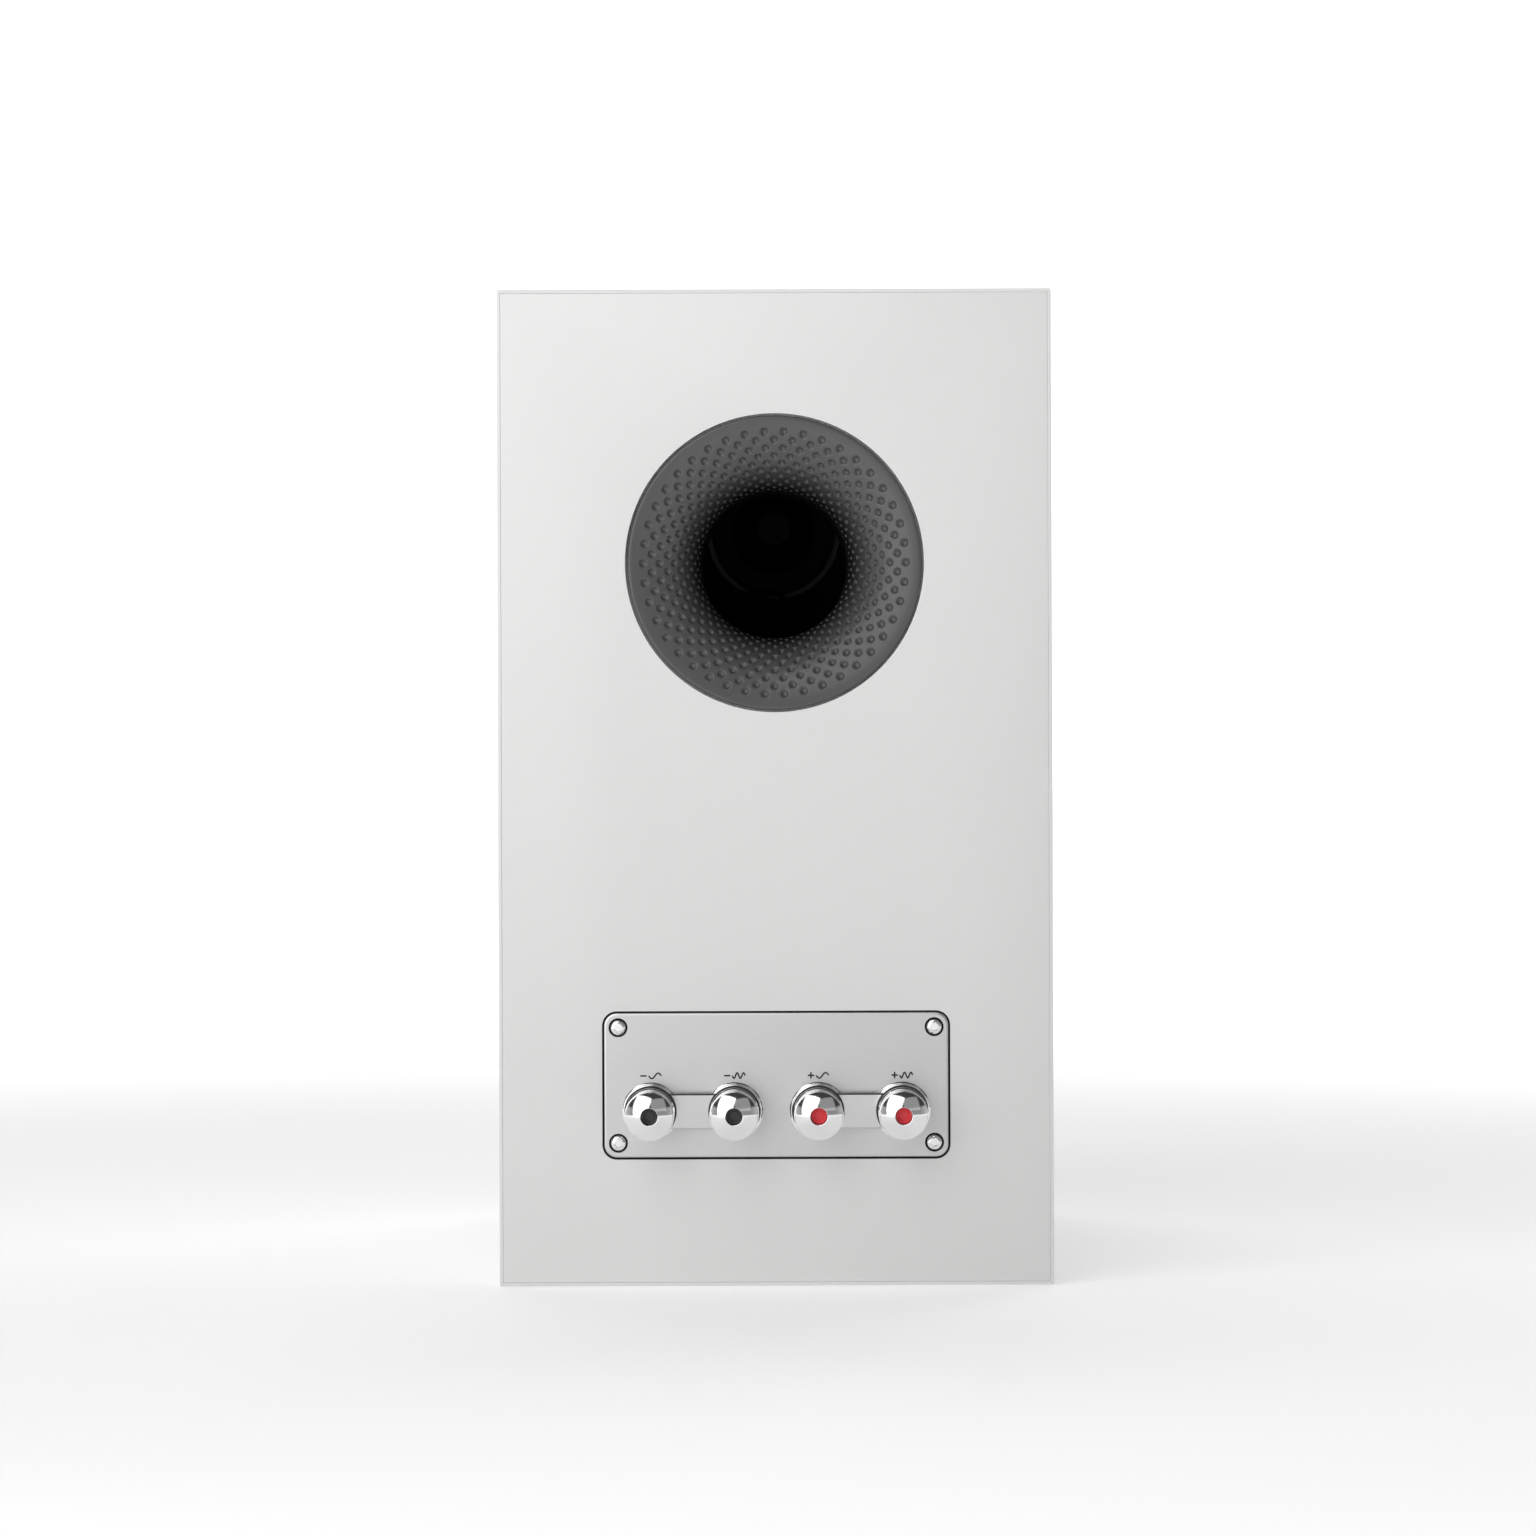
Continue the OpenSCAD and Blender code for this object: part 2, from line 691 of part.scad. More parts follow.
module tweeter_surround() {
  lip = 4.6;
  skin = 0.25;
  color("black") in_tweeter() rotate_extrude($fn = 96) polygon(concat(
    [[17, lip], [17, lip - skin]],
    arc(14.4, lip - skin, 1.4, 0, -180, 8),
    [[12.75, lip - skin], [12.75, lip], [14.4 - 1.4 + skin, lip]],
    arc(14.4, lip - skin, 1.4 - skin, -180, 0, 8),
    [[14.4 + 1.4 - skin, lip]]
  ));
}

module tweeter_voice_coil() {
  color("orange") in_tweeter() {
    ring(12.5, 12.2, 4.7, 11);
    ring(12.95, 12.55, 7.5, 11);
  }
}

module tweeter_chassis() {
  color("black") in_tweeter() ring(24, 16, 4.65, 8);
}

module tweeter_motor_steel() {
  color("gray") in_tweeter() {
    ring(23, 13.5, 8, 11);
    difference() {
      union() {
        translate([0, 0, 16]) cylinder(r = 23, h = 4);
        translate([0, 0, 8]) cylinder(r = 11.7, h = 9);
      }
      translate([0, 0, 5]) cylinder(r = 3, h = 20);
    }
  }
}

module tweeter_magnet() {
  color("lightgray") in_tweeter() ring(22.5, 15.5, 11, 16);
}

// A tapered tube that soaks up the dome's rear wave.
module tweeter_rear_tube() {
  color("dimgray") in_tweeter() rotate_extrude() polygon([
    [6, 20], [16, 20], [16, 24], [8, 72], [6, 75], [0, 75], [0, 73], [5.4, 71.5], [13.6, 23.6], [6, 22]
  ]);
}

module tweeter_screws() {
  color("dimgray") in_tweeter() around(4, tweeter_screw_r, 45) difference() {
    union() {
      translate([0, 0, -0.7]) cylinder(r = 2.2, h = 1.85);
      cylinder(r = 1.2, h = 15);
    }
    translate([0, 0, -1.5]) cylinder(r = 1.15, h = 2, $fn = 6);
  }
}

// ---------- crossover ----------

module standoff_places() {
  for (x = [-60, 60], y = [0, 75]) translate([x, y, 0]) children();
}

module crossover_board() {
  color("darkgreen") difference() {
    box([-board_w / 2, board_y0, board_z], [board_w / 2, board_y1, board_z + board_t]);
    standoff_places() translate([0, 0, board_z - 1]) cylinder(r = 1.6, h = 4);
  }
}

module crossover_standoffs() {
  color("ivory") standoff_places() {
    translate([0, 0, wall_t]) cylinder(r = 4, h = board_z - wall_t);
    translate([0, 0, board_z - 0.5]) cylinder(r = 1.5, h = board_t + 1);
    translate([0, 0, board_z + board_t]) cylinder(r = 2.6, h = 1.6);
  }
}

module crossover_coils() {
  color("chocolate") {
    translate([-38, 19, 0]) ring(20, 9, on_board, on_board + 18);
    translate([38, 60, 0]) ring(16, 8, on_board, on_board + 14);
    difference() {
      box([-15, 48, on_board], [15, 72, on_board + 26]);
      box([-9, 47, on_board + 6], [-5, 73, on_board + 20]);
      box([5, 47, on_board + 6], [9, 73, on_board + 20]);
    }
  }
}

module crossover_capacitors() {
  lying = [[10, 8, 9, 40], [10, 30, 10, 42], [-56, 50, 7, 36], [-50, 68, 7, 32]];
  color("khaki") for (c = lying)
    translate([c[0], c[1], on_board + c[2]]) rotate([0, 90, 0]) cylinder(r = c[2], h = c[3]);
}

module crossover_resistors() {
  color("white") for (x = [-13, -2])
    box([x, 0, on_board], [x + 9, 26, on_board + 9]);
}

// ---------- internal wiring ----------

module wiring_harness() {
  wire_r = 1.1;
  lug_back = rear_y - plate_sink - plate_t - 3 - 0.8;
  color("firebrick") {
    // Four leads from the posts' lugs to the board's rear edge.
    for (x = post_x) wire([
      [x, lug_back - 0.1, 54.6], [x, 107, 54.6], [x, 102, 52.5], [x * 0.98, 96, 44],
      [x * 0.96, 90.5, 33], [x * 0.95, 84, 28.4], [x * 0.95, 78.2, 27.7]
    ], wire_r);
    // Two leads from the board's front edge to the bass-midrange's tags.
    for (side = [-1, 1]) wire([
      [side * 5, -3.2, 27.5], [side * 5, -12, 27.5], [side * 5.5, -35, 26], [side * 6, -62, 33],
      [side * 5.5, -83, 51], [side * 5, -95, 63.5], [side * 5, -103.6, 68.5]
    ], wire_r);
    // Two leads up through the brace's window to the tweeter.
    for (side = [-1, 1]) wire([
      [52 + side * 3, -3.2, 27.8], [57 + side * 3, -12, 33], [59 + side * 3, -36, 85], [59 + side * 3, -45, 155],
      [54 + side * 3, -45, 205], [40 + side * 3, -60, 228], [18 + side * 3, -86, 241],
      [4 + side * 3, -106, 244], [side * 3, -117, 243.8], [side * 3, -126, 243.8], [side * 3, -136.3, 243.8]
    ], wire_r);
  }
}

// ---------- what is drawn ----------

left_side_panel();
right_side_panel();
top_panel();
bottom_panel();
rear_panel();
front_baffle();
shelf_brace();
base_inserts();
foam_lining();
port_flare();
port_tube();
port_inner_flare();
terminal_plate();
terminal_gasket();
terminal_screws();
post_stems();
post_bushings();
post_collars();
post_nuts();
link_straps();
clamp_washer(0);  // clamp_washer_lf_minus
clamp_washer(1);  // clamp_washer_hf_minus
clamp_washer(2);  // clamp_washer_lf_plus
clamp_washer(3);  // clamp_washer_hf_plus
post_knob(0);  // post_knob_lf_minus
post_knob(1);  // post_knob_hf_minus
post_knob(2);  // post_knob_lf_plus
post_knob(3);  // post_knob_hf_plus
socket_plug(0, "black");  // socket_plug_lf_minus
socket_plug(1, "black");  // socket_plug_hf_minus
socket_plug(2, "red");  // socket_plug_lf_plus
socket_plug(3, "red");  // socket_plug_hf_plus
woofer_basket();
woofer_trim_ring();
woofer_gasket();
woofer_surround();
woofer_cone();
woofer_dust_cap();
woofer_voice_coil();
woofer_spider();
woofer_top_plate();
woofer_magnet();
woofer_pole_yoke();
woofer_screws();
tweeter_faceplate();
tweeter_mesh();
tweeter_dome();
tweeter_surround();
tweeter_voice_coil();
tweeter_chassis();
tweeter_magnet();
tweeter_motor_steel();
tweeter_rear_tube();
tweeter_screws();
crossover_board();
crossover_coils();
crossover_capacitors();
crossover_resistors();
crossover_standoffs();
wiring_harness();
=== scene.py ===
"""Looks of a two-way bookshelf loudspeaker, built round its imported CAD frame."""

import json
import math

import bmesh
import bpy
import numpy as np
from mathutils import Matrix, Vector


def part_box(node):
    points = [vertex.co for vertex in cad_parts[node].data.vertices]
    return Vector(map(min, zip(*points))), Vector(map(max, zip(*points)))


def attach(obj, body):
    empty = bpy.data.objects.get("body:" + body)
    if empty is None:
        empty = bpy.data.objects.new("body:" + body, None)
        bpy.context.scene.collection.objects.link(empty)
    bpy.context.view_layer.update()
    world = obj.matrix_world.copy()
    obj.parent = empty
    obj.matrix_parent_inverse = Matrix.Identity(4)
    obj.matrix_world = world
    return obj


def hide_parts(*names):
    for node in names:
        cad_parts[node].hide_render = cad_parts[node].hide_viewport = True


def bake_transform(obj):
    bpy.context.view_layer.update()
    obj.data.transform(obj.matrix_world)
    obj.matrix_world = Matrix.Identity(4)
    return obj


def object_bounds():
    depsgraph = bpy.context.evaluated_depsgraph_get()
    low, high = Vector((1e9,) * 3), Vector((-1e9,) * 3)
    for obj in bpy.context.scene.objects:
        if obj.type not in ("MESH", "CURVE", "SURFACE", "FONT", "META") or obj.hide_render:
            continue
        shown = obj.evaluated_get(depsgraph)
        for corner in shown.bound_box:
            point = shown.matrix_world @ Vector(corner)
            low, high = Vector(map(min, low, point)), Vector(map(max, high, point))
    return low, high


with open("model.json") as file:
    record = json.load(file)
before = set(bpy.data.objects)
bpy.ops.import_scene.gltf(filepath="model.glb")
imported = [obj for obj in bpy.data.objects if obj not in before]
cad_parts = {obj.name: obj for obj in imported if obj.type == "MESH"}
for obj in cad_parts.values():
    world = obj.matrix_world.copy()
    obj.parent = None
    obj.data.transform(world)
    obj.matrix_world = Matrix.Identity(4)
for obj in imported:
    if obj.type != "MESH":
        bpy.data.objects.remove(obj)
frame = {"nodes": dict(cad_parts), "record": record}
cad_low, cad_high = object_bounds()

MM = 0.001
TAU = 2 * math.pi
POSTS = ("lf_minus", "hf_minus", "lf_plus", "hf_plus")
# Millimetres. Neighbouring posts are this far apart.
POST_PITCH = 29
# How far the posts sit below the middle of the terminal plate.
BELOW = 8.8
# Screws in the terminal plate, about its middle, and threaded inserts in the base.
PLATE_SCREWS = [(x, y) for x in (-54.75, 54.75) for y in (-20, 20)]
BASE_INSERTS = [(x, y) for x in (-60, 60) for y in (-80, 80)]


# ---------- places, read from the frame ----------


def middle(node):
    """Centre of a CAD node's box, in millimetres."""
    low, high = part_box(node)
    return (low + high) / 2 / MM


REAR_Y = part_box("rear_panel")[1].y / MM
RECESS_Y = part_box("rear_panel")[0].y / MM
BAFFLE_BACK_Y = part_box("front_baffle")[1].y / MM
TRIM_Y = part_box("woofer_trim_ring")[1].y / MM
PLATE_FACE_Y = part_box("tweeter_chassis")[0].y / MM
HALF_W = cad_high.x / MM
HEIGHT = cad_high.z / MM
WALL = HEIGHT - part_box("foam_lining")[1].z / MM - 0.2
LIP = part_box("rear_panel")[0].z / MM
PORT = middle("port_flare")
PLATE = middle("terminal_plate")
WOOFER = middle("woofer_trim_ring")
TWEETER = middle("tweeter_mesh")
WOOFER_Y = TRIM_Y
TWEETER_Y = PLATE_FACE_Y - 4.65


def facing_back(x, y, z):
    """Places local millimetres with local +Z along the cabinet's +Y and local +Y pointing down."""
    tipped = Matrix.Rotation(-math.pi / 2, 4, "X")
    return Matrix.Translation(Vector((x, y, z)) * MM) @ tipped @ Matrix.Scale(MM, 4)


def at_post(name):
    """Local millimetres about a post's axis, from the cabinet's back outwards."""
    centre = middle(f"post_knob_{name}")
    return facing_back(centre.x, REAR_Y, centre.z)


AT_PORT = facing_back(PORT.x, REAR_Y, PORT.z)
AT_PLATE = facing_back(PLATE.x, REAR_Y, PLATE.z)
AT_POST_SLOT = facing_back(PLATE.x, REAR_Y, PLATE.z - BELOW)
AT_WOOFER = facing_back(WOOFER.x, WOOFER_Y, WOOFER.z)
AT_TWEETER = facing_back(TWEETER.x, TWEETER_Y, TWEETER.z)
UPRIGHT = Matrix.Scale(MM, 4)


# ---------- materials ----------


class Nodes:
    """A material's node tree, built a node at a time."""

    def __init__(self, name):
        self.material = bpy.data.materials.new(name)
        self.material.use_nodes = True
        self.tree = self.material.node_tree
        self.shader = self.tree.nodes["Principled BSDF"]
        self.place = self.add("ShaderNodeTexCoord").outputs["Object"]

    def add(self, kind, links=(), **settings):
        node = self.tree.nodes.new(kind)
        for key, value in settings.items():
            setattr(node, key, value)
        for socket, source in dict(links).items():
            self.set(node.inputs[socket], source)
        return node

    def set(self, socket, source):
        if isinstance(source, bpy.types.NodeSocket):
            self.tree.links.new(source, socket)
        else:
            socket.default_value = source

    def maths(self, operation, a, b=0.0):
        node = self.add("ShaderNodeMath", operation=operation)
        self.set(node.inputs[0], a)
        self.set(node.inputs[1], b)
        return node.outputs[0]

    def noise(self, scale, detail=2.0, stretch=(1, 1, 1)):
        """Noise between 0 and 1. Scale is in cycles a metre, divided by stretch along each axis."""
        spread = self.add("ShaderNodeMapping", {"Vector": self.place, "Scale": [1 / s for s in stretch]})
        links = {"Vector": spread.outputs[0], "Scale": scale, "Detail": detail}
        node = self.add("ShaderNodeTexNoise", links)
        return node.outputs["Fac"]

    def between(self, factor, low, high):
        """A number that runs from low to high as factor runs from 0 to 1."""
        node = self.add("ShaderNodeMapRange", {"Value": factor, "To Min": low, "To Max": high})
        return node.outputs[0]

    def tint(self, factor, low, high):
        node = self.add("ShaderNodeMix", {"Factor": factor}, data_type="RGBA")
        self.set(node.inputs["A"], (*low, 1))
        self.set(node.inputs["B"], (*high, 1))
        return node.outputs["Result"]

    def bump(self, height, depth_mm, strength=1.0):
        links = {"Height": height, "Distance": depth_mm * MM, "Strength": strength}
        node = self.add("ShaderNodeBump", links)
        self.set(self.shader.inputs["Normal"], node.outputs[0])

    def finish(self, **sockets):
        for name, value in sockets.items():
            self.set(self.shader.inputs[name.replace("_", " ")], value)
        return self.material


def shade(colour, factor):
    return tuple(min(1.0, c * factor) for c in colour)


def moulded(name, colour, roughness, grain_mm=0.6, depth_mm=0.02, spread=0.08, **extra):
    """Plastic, rubber, paint or laminate: a fine grain over slight clouds of colour and gloss."""
    n = Nodes(name)
    clouds = n.noise(1 / (30 * MM), 3)
    n.bump(n.noise(1 / (grain_mm * MM), 2), depth_mm)
    return n.finish(
        Base_Color=n.tint(clouds, shade(colour, 1 - spread), shade(colour, 1 + spread)),
        Roughness=n.between(clouds, roughness * 0.9, min(1.0, roughness * 1.12)),
        **extra,
    )


def metal(name, colour, roughness, brush=(1, 1, 1), grain_mm=0.5, depth_mm=0.004, spread=0.04, **extra):
    """Metal with a grain drawn out along the axes where brush is large."""
    n = Nodes(name)
    lines = n.noise(1 / (grain_mm * MM), 3, brush)
    clouds = n.noise(1 / (22 * MM), 2)
    n.bump(lines, depth_mm)
    gloss = n.maths("ADD", n.maths("MULTIPLY", lines, 0.5), n.maths("MULTIPLY", clouds, 0.5))
    return n.finish(
        Base_Color=n.tint(lines, shade(colour, 1 - spread), shade(colour, 1 + spread)),
        Roughness=n.between(gloss, roughness * 0.75, roughness * 1.25),
        Metallic=1.0,
        **extra,
    )


def woven(name, dark, light, pitch_mm, roughness, depth_mm, metallic=0.0, **extra):
    """A plain weave seen along Y: threads in X and in Z pass over each other in turn."""
    n = Nodes(name)
    axes = n.add("ShaderNodeSeparateXYZ", {"Vector": n.place})
    turns = math.pi / (pitch_mm * MM)
    waves = [n.maths("SINE", n.maths("MULTIPLY", axes.outputs[axis], turns)) for axis in ("X", "Z")]
    over = n.maths("MULTIPLY", waves[0], waves[1])
    crowns = [n.maths("ABSOLUTE", wave) for wave in waves]
    threads = n.maths("ADD", crowns[0], crowns[1])
    fibres = n.noise(1 / (0.35 * MM), 2)
    height = n.maths("ADD", n.maths("MULTIPLY", over, 0.5), n.maths("MULTIPLY", threads, 0.5))
    blend = n.between(n.maths("ADD", over, n.maths("MULTIPLY", fibres, 0.4)), 0.0, 1.0)
    n.bump(height, depth_mm)
    return n.finish(
        Base_Color=n.tint(blend, dark, light),
        Roughness=n.between(over, roughness * 1.1, roughness * 0.85),
        Metallic=metallic,
        **extra,
    )


def shade_painted_with_depth(name, mouth_colour, throat_painted_shade_colour, roughness, mouth_y, throat_y):
    """Moulded plastic whose colour darkens from one depth in the cabinet to another: painted shade
    deepening towards the port's throat.
    """
    n = Nodes(name)
    axes = n.add("ShaderNodeSeparateXYZ", {"Vector": n.place})
    links = {"Value": axes.outputs["Y"], "From Min": mouth_y * MM, "From Max": throat_y * MM}
    depth = n.add("ShaderNodeMapRange", links, interpolation_type="SMOOTHSTEP").outputs[0]
    clouds = n.noise(1 / (12 * MM), 3)
    n.bump(n.noise(1 / (0.35 * MM), 2), 0.004)
    wear = n.maths("ADD", n.maths("MULTIPLY", clouds, 0.4), depth)
    return n.finish(
        # depth runs from 0 at the mouth to 1 in the throat; the colour's darkening with it is painted
        # shade.
        Base_Color=n.tint(depth, mouth_colour, throat_painted_shade_colour),
        Roughness=n.between(wear, roughness * 0.85, roughness * 1.5),
    )


def grained_wood(name, dark, light):
    """Pressed board: short chips, longest across the grain."""
    n = Nodes(name)
    chips = n.noise(1 / (1.5 * MM), 4, (3, 3, 1))
    n.bump(chips, 0.05)
    return n.finish(Base_Color=n.tint(chips, dark, light), Roughness=n.between(chips, 0.75, 0.95))


def open_foam(name, colour):
    """Foam whose cells are dark in the middle: painted shade in each cell's sunken centre."""
    n = Nodes(name)
    cells = n.add("ShaderNodeTexVoronoi", {"Vector": n.place, "Scale": 1 / (1.6 * MM)}).outputs["Distance"]
    n.bump(cells, 0.8)
    # Each cell is darker towards its middle: painted shade.
    return n.finish(Base_Color=n.tint(cells, shade(colour, 0.35), shade(colour, 1.4)), Roughness=0.95)


def wound(name, colour, turns_mm):
    """Enamelled wire laid side by side along Z or Y, with painted shade in the grooves between turns."""
    n = Nodes(name)
    axes = n.add("ShaderNodeSeparateXYZ", {"Vector": n.place})
    along = n.maths("ADD", axes.outputs["Z"], axes.outputs["Y"])
    ridges = n.maths("SINE", n.maths("MULTIPLY", along, TAU / (turns_mm * MM)))
    n.bump(ridges, 0.12)
    return n.finish(
        # Darker in the grooves between turns: painted shade.
        Base_Color=n.tint(n.between(ridges, 0.0, 1.0), shade(colour, 0.5), shade(colour, 1.1)),
        Roughness=0.32,
        Metallic=0.9,
    )


MATERIALS = {
    "cabinet_white": moulded(
        "satin_white_paint", (0.71, 0.71, 0.705), 0.42, grain_mm=0.9, depth_mm=0.006, spread=0.012,
        Specular_IOR_Level=0.4, Coat_Weight=0.12, Coat_Roughness=0.3),
    # Bare board inside the cabinet, near black as painted shade for the dark seen through the port.
    "bare_board": grained_wood("shade_darkened_fibreboard", (0.008, 0.007, 0.006), (0.02, 0.017, 0.014)),
    # Dark foam, made darker still as painted shade for the inside of the cabinet.
    "lining_foam": open_foam("lining_foam", (0.022, 0.022, 0.024)),
    "insert_steel": metal("plated_insert", (0.6, 0.6, 0.61), 0.3),
    # Painted shade: the port plastic darkens from its own dark grey at the mouth to near black in the
    # throat.
    "port_plastic": shade_painted_with_depth(
        "port_plastic", (0.072, 0.072, 0.073), (0.003, 0.003, 0.003), 0.29, REAR_Y - 0.5, REAR_Y - 21),
    "plate_metal": metal(
        "brushed_plate", (0.63, 0.63, 0.635), 0.36, brush=(18, 1, 1), grain_mm=0.25, depth_mm=0.003),
    "seal_rubber": moulded("seal_rubber", (0.006, 0.006, 0.006), 0.9),
    "screw_steel": metal("screw_plate", (0.78, 0.78, 0.79), 0.16),
    "stem_metal": metal("stem_plate", (0.72, 0.68, 0.56), 0.22),
    "bushing_plastic": moulded("bushing_plastic", (0.02, 0.02, 0.021), 0.5),
    "post_chrome": metal("post_chrome", (0.82, 0.82, 0.83), 0.1, depth_mm=0.0006, spread=0.01),
    "nut_brass": metal("turned_brass", (0.72, 0.52, 0.22), 0.3),
    "strap_metal": metal("strap_plate", (0.57, 0.57, 0.575), 0.18, brush=(12, 1, 1), grain_mm=0.25),
    "plug_black": moulded("black_plug", (0.022, 0.022, 0.024), 0.34, grain_mm=0.3, depth_mm=0.004),
    "plug_red": moulded("red_plug", (0.72, 0.03, 0.04), 0.34, grain_mm=0.3, depth_mm=0.004),
    "basket_metal": moulded("basket_coating", (0.03, 0.03, 0.032), 0.5, Metallic=0.3),
    "trim_metal": metal("trim_ring_metal", (0.33, 0.33, 0.34), 0.28, grain_mm=0.3),
    "surround_rubber": moulded("surround_rubber", (0.016, 0.016, 0.017), 0.46, grain_mm=1.2, depth_mm=0.01),
    "cone_weave": woven(
        "cone_weave", (0.2, 0.205, 0.215), (0.62, 0.63, 0.65), 1.7, 0.42, 0.16, metallic=0.35),
    "cap_plastic": moulded("cap_plastic", (0.24, 0.245, 0.255), 0.38, grain_mm=0.5, Metallic=0.3),
    "coil_copper": wound("coil_copper", (0.78, 0.32, 0.12), 0.7),
    "spider_cloth": woven("spider_cloth", (0.34, 0.2, 0.04), (0.62, 0.42, 0.12), 0.5, 0.8, 0.05),
    "motor_steel": metal("motor_steel", (0.03, 0.03, 0.032), 0.6),
    "ferrite": moulded("ground_ferrite", (0.03, 0.03, 0.033), 0.5, grain_mm=0.4),
    "black_screw": metal("black_screw", (0.05, 0.05, 0.055), 0.35),
    "faceplate_metal": moulded(
        "faceplate_paint", (0.06, 0.06, 0.064), 0.34, grain_mm=0.4, depth_mm=0.006, Metallic=0.5),
    "mesh_metal": metal("mesh_metal", (0.06, 0.06, 0.065), 0.4),
    "dome_metal": metal("dome_foil", (0.5, 0.51, 0.54), 0.25),
    "chassis_plastic": moulded("chassis_plastic", (0.02, 0.02, 0.02), 0.6),
    "neodymium": moulded("magnet_epoxy", (0.012, 0.012, 0.013), 0.55, grain_mm=0.8),
    # The tweeter's rear tube, near black as painted shade for the dark seen through the port.
    "tube_metal": moulded("shade_darkened_tube", (0.012, 0.012, 0.013), 0.7, grain_mm=1.2, depth_mm=0.04),
    "board_laminate": moulded("solder_mask", (0.02, 0.12, 0.045), 0.3, grain_mm=2.0, spread=0.2),
    "capacitor_film": moulded("capacitor_wrap", (0.6, 0.5, 0.2), 0.35, grain_mm=3.0, depth_mm=0.05),
    "resistor_ceramic": moulded("resistor_ceramic", (0.72, 0.7, 0.64), 0.85, grain_mm=0.8, depth_mm=0.06),
    "standoff_nylon": moulded("standoff_nylon", (0.7, 0.68, 0.6), 0.5),
    # A red wire darkened nearly to black as painted shade for the dark seen through the port.
    "wire_jacket": moulded("wire_jacket", (0.03, 0.008, 0.008), 0.6, grain_mm=0.8),
}


# ---------- mesh building ----------


def rounded(points, steps=4):
    """A closed outline whose points may carry a third number, the radius that rounds the corner."""
    out = []
    count = len(points)
    for i, point in enumerate(points):
        here = Vector(point[:2])
        radius = point[2] if len(point) > 2 else 0
        if not radius:
            out.append(tuple(here))
            continue
        back = (Vector(points[i - 1][:2]) - here).normalized()
        ahead = (Vector(points[(i + 1) % count][:2]) - here).normalized()
        half = back.angle(ahead) / 2
        reach = radius / math.tan(half)
        centre = here + (back + ahead).normalized() * (radius / math.sin(half))
        first = here + back * reach - centre
        last = here + ahead * reach - centre
        sweep = first.angle_signed(last)
        for k in range(steps + 1):
            turn = Matrix.Rotation(-sweep * k / steps, 2)
            out.append(tuple(centre + turn @ first))
    return out


def arc(cx, cy, radius, start, end, steps):
    """Points on an arc, angles in degrees."""
    angles = [math.radians(start + (end - start) * k / steps) for k in range(steps + 1)]
    return [(cx + radius * math.cos(a), cy + radius * math.sin(a)) for a in angles]


def rounded_box(width, height, radius, steps=8):
    """Outline of a rectangle with round corners, about the origin."""
    out = []
    for quarter, (sx, sy) in enumerate(((1, 1), (-1, 1), (-1, -1), (1, -1))):
        out += arc(sx * (width / 2 - radius), sy * (height / 2 - radius), radius,
                   quarter * 90, quarter * 90 + 90, steps)
    return out


def loft(loops, place=UPRIGHT, ring=False, caps=True):
    """A solid through loops of equal numbers of points. A ring joins its last loop to its first."""
    bm = bmesh.new()
    rows = [[bm.verts.new(place @ Vector(p)) for p in loop] for loop in loops]
    count = len(rows[0])
    pairs = list(zip(rows, rows[1:]))
    if ring:
        pairs.append((rows[-1], rows[0]))
    for low, high in pairs:
        for i in range(count):
            j = (i + 1) % count
            bm.faces.new((low[i], low[j], high[j], high[i]))
    if caps and not ring:
        bm.faces.new(rows[0][::-1])
        bm.faces.new(rows[-1])
    bmesh.ops.remove_doubles(bm, verts=bm.verts, dist=1e-7)
    bmesh.ops.recalc_face_normals(bm, faces=bm.faces)
    return bm


def lathe(profile, place, sides=128):
    """A closed outline of (radius, height) turned about local Z."""
    turns = [TAU * i / sides for i in range(sides)]
    bm = bmesh.new()
    rows = []
    for r, h in profile:
        if r < 1e-6:
            rows.append([bm.verts.new(place @ Vector((0, 0, h)))] * sides)
        else:
            loop = [(r * math.cos(a), r * math.sin(a), h) for a in turns]
            rows.append([bm.verts.new(place @ Vector(p)) for p in loop])
    for low, high in zip(rows, rows[1:] + rows[:1]):
        for i in range(sides):
            j = (i + 1) % sides
            corners = list(dict.fromkeys((low[i], low[j], high[j], high[i])))
            if len(corners) > 2:
                bm.faces.new(corners)
    bmesh.ops.recalc_face_normals(bm, faces=bm.faces)
    return bm


def cylinder(radius, low, high, place):
    """A plain cylinder along local Z."""
    return lathe([(0, low), (radius, low), (radius, high), (0, high)], place, 48)


def slab(outline, low, high, place, edge=0.0, back_edge=0.0, belly=0.3):
    """An outline extruded along local Z, its rims cut back by an edge.

    The front edge is rounded when belly is 0.3 and a plain chamfer when it is 0.5.
    """
    stations = [(back_edge, low), (0, low + back_edge)] if back_edge else [(0, low)]
    if edge:
        stations += [(0, high - edge), (edge * belly, high - edge * belly), (edge, high)]
    else:
        stations += [(0, high)]
    loops = [[(*inward(outline, i, by), z) for i in range(len(outline))] for by, z in stations]
    return loft(loops, place)


def inward(outline, i, by):
    """Point i of an anticlockwise outline, moved in by a distance."""
    before, here, after = (Vector(outline[k % len(outline)]) for k in (i - 1, i, i + 1))
    normals = []
    for a, b in ((before, here), (here, after)):
        step = b - a
        if step.length > 1e-9:
            normals.append(Vector((-step.y, step.x)).normalized())
    total = sum(normals, Vector((0, 0)))
    total = total.normalized() / max(0.3, total.normalized().dot(normals[0]))
    return here + total * by


def joined(*parts):
    """Several solids in one bmesh."""
    out = bmesh.new()
    for part in parts:
        mesh = bpy.data.meshes.new("part")
        part.to_mesh(mesh)
        part.free()
        out.from_mesh(mesh)
        bpy.data.meshes.remove(mesh)
    return out


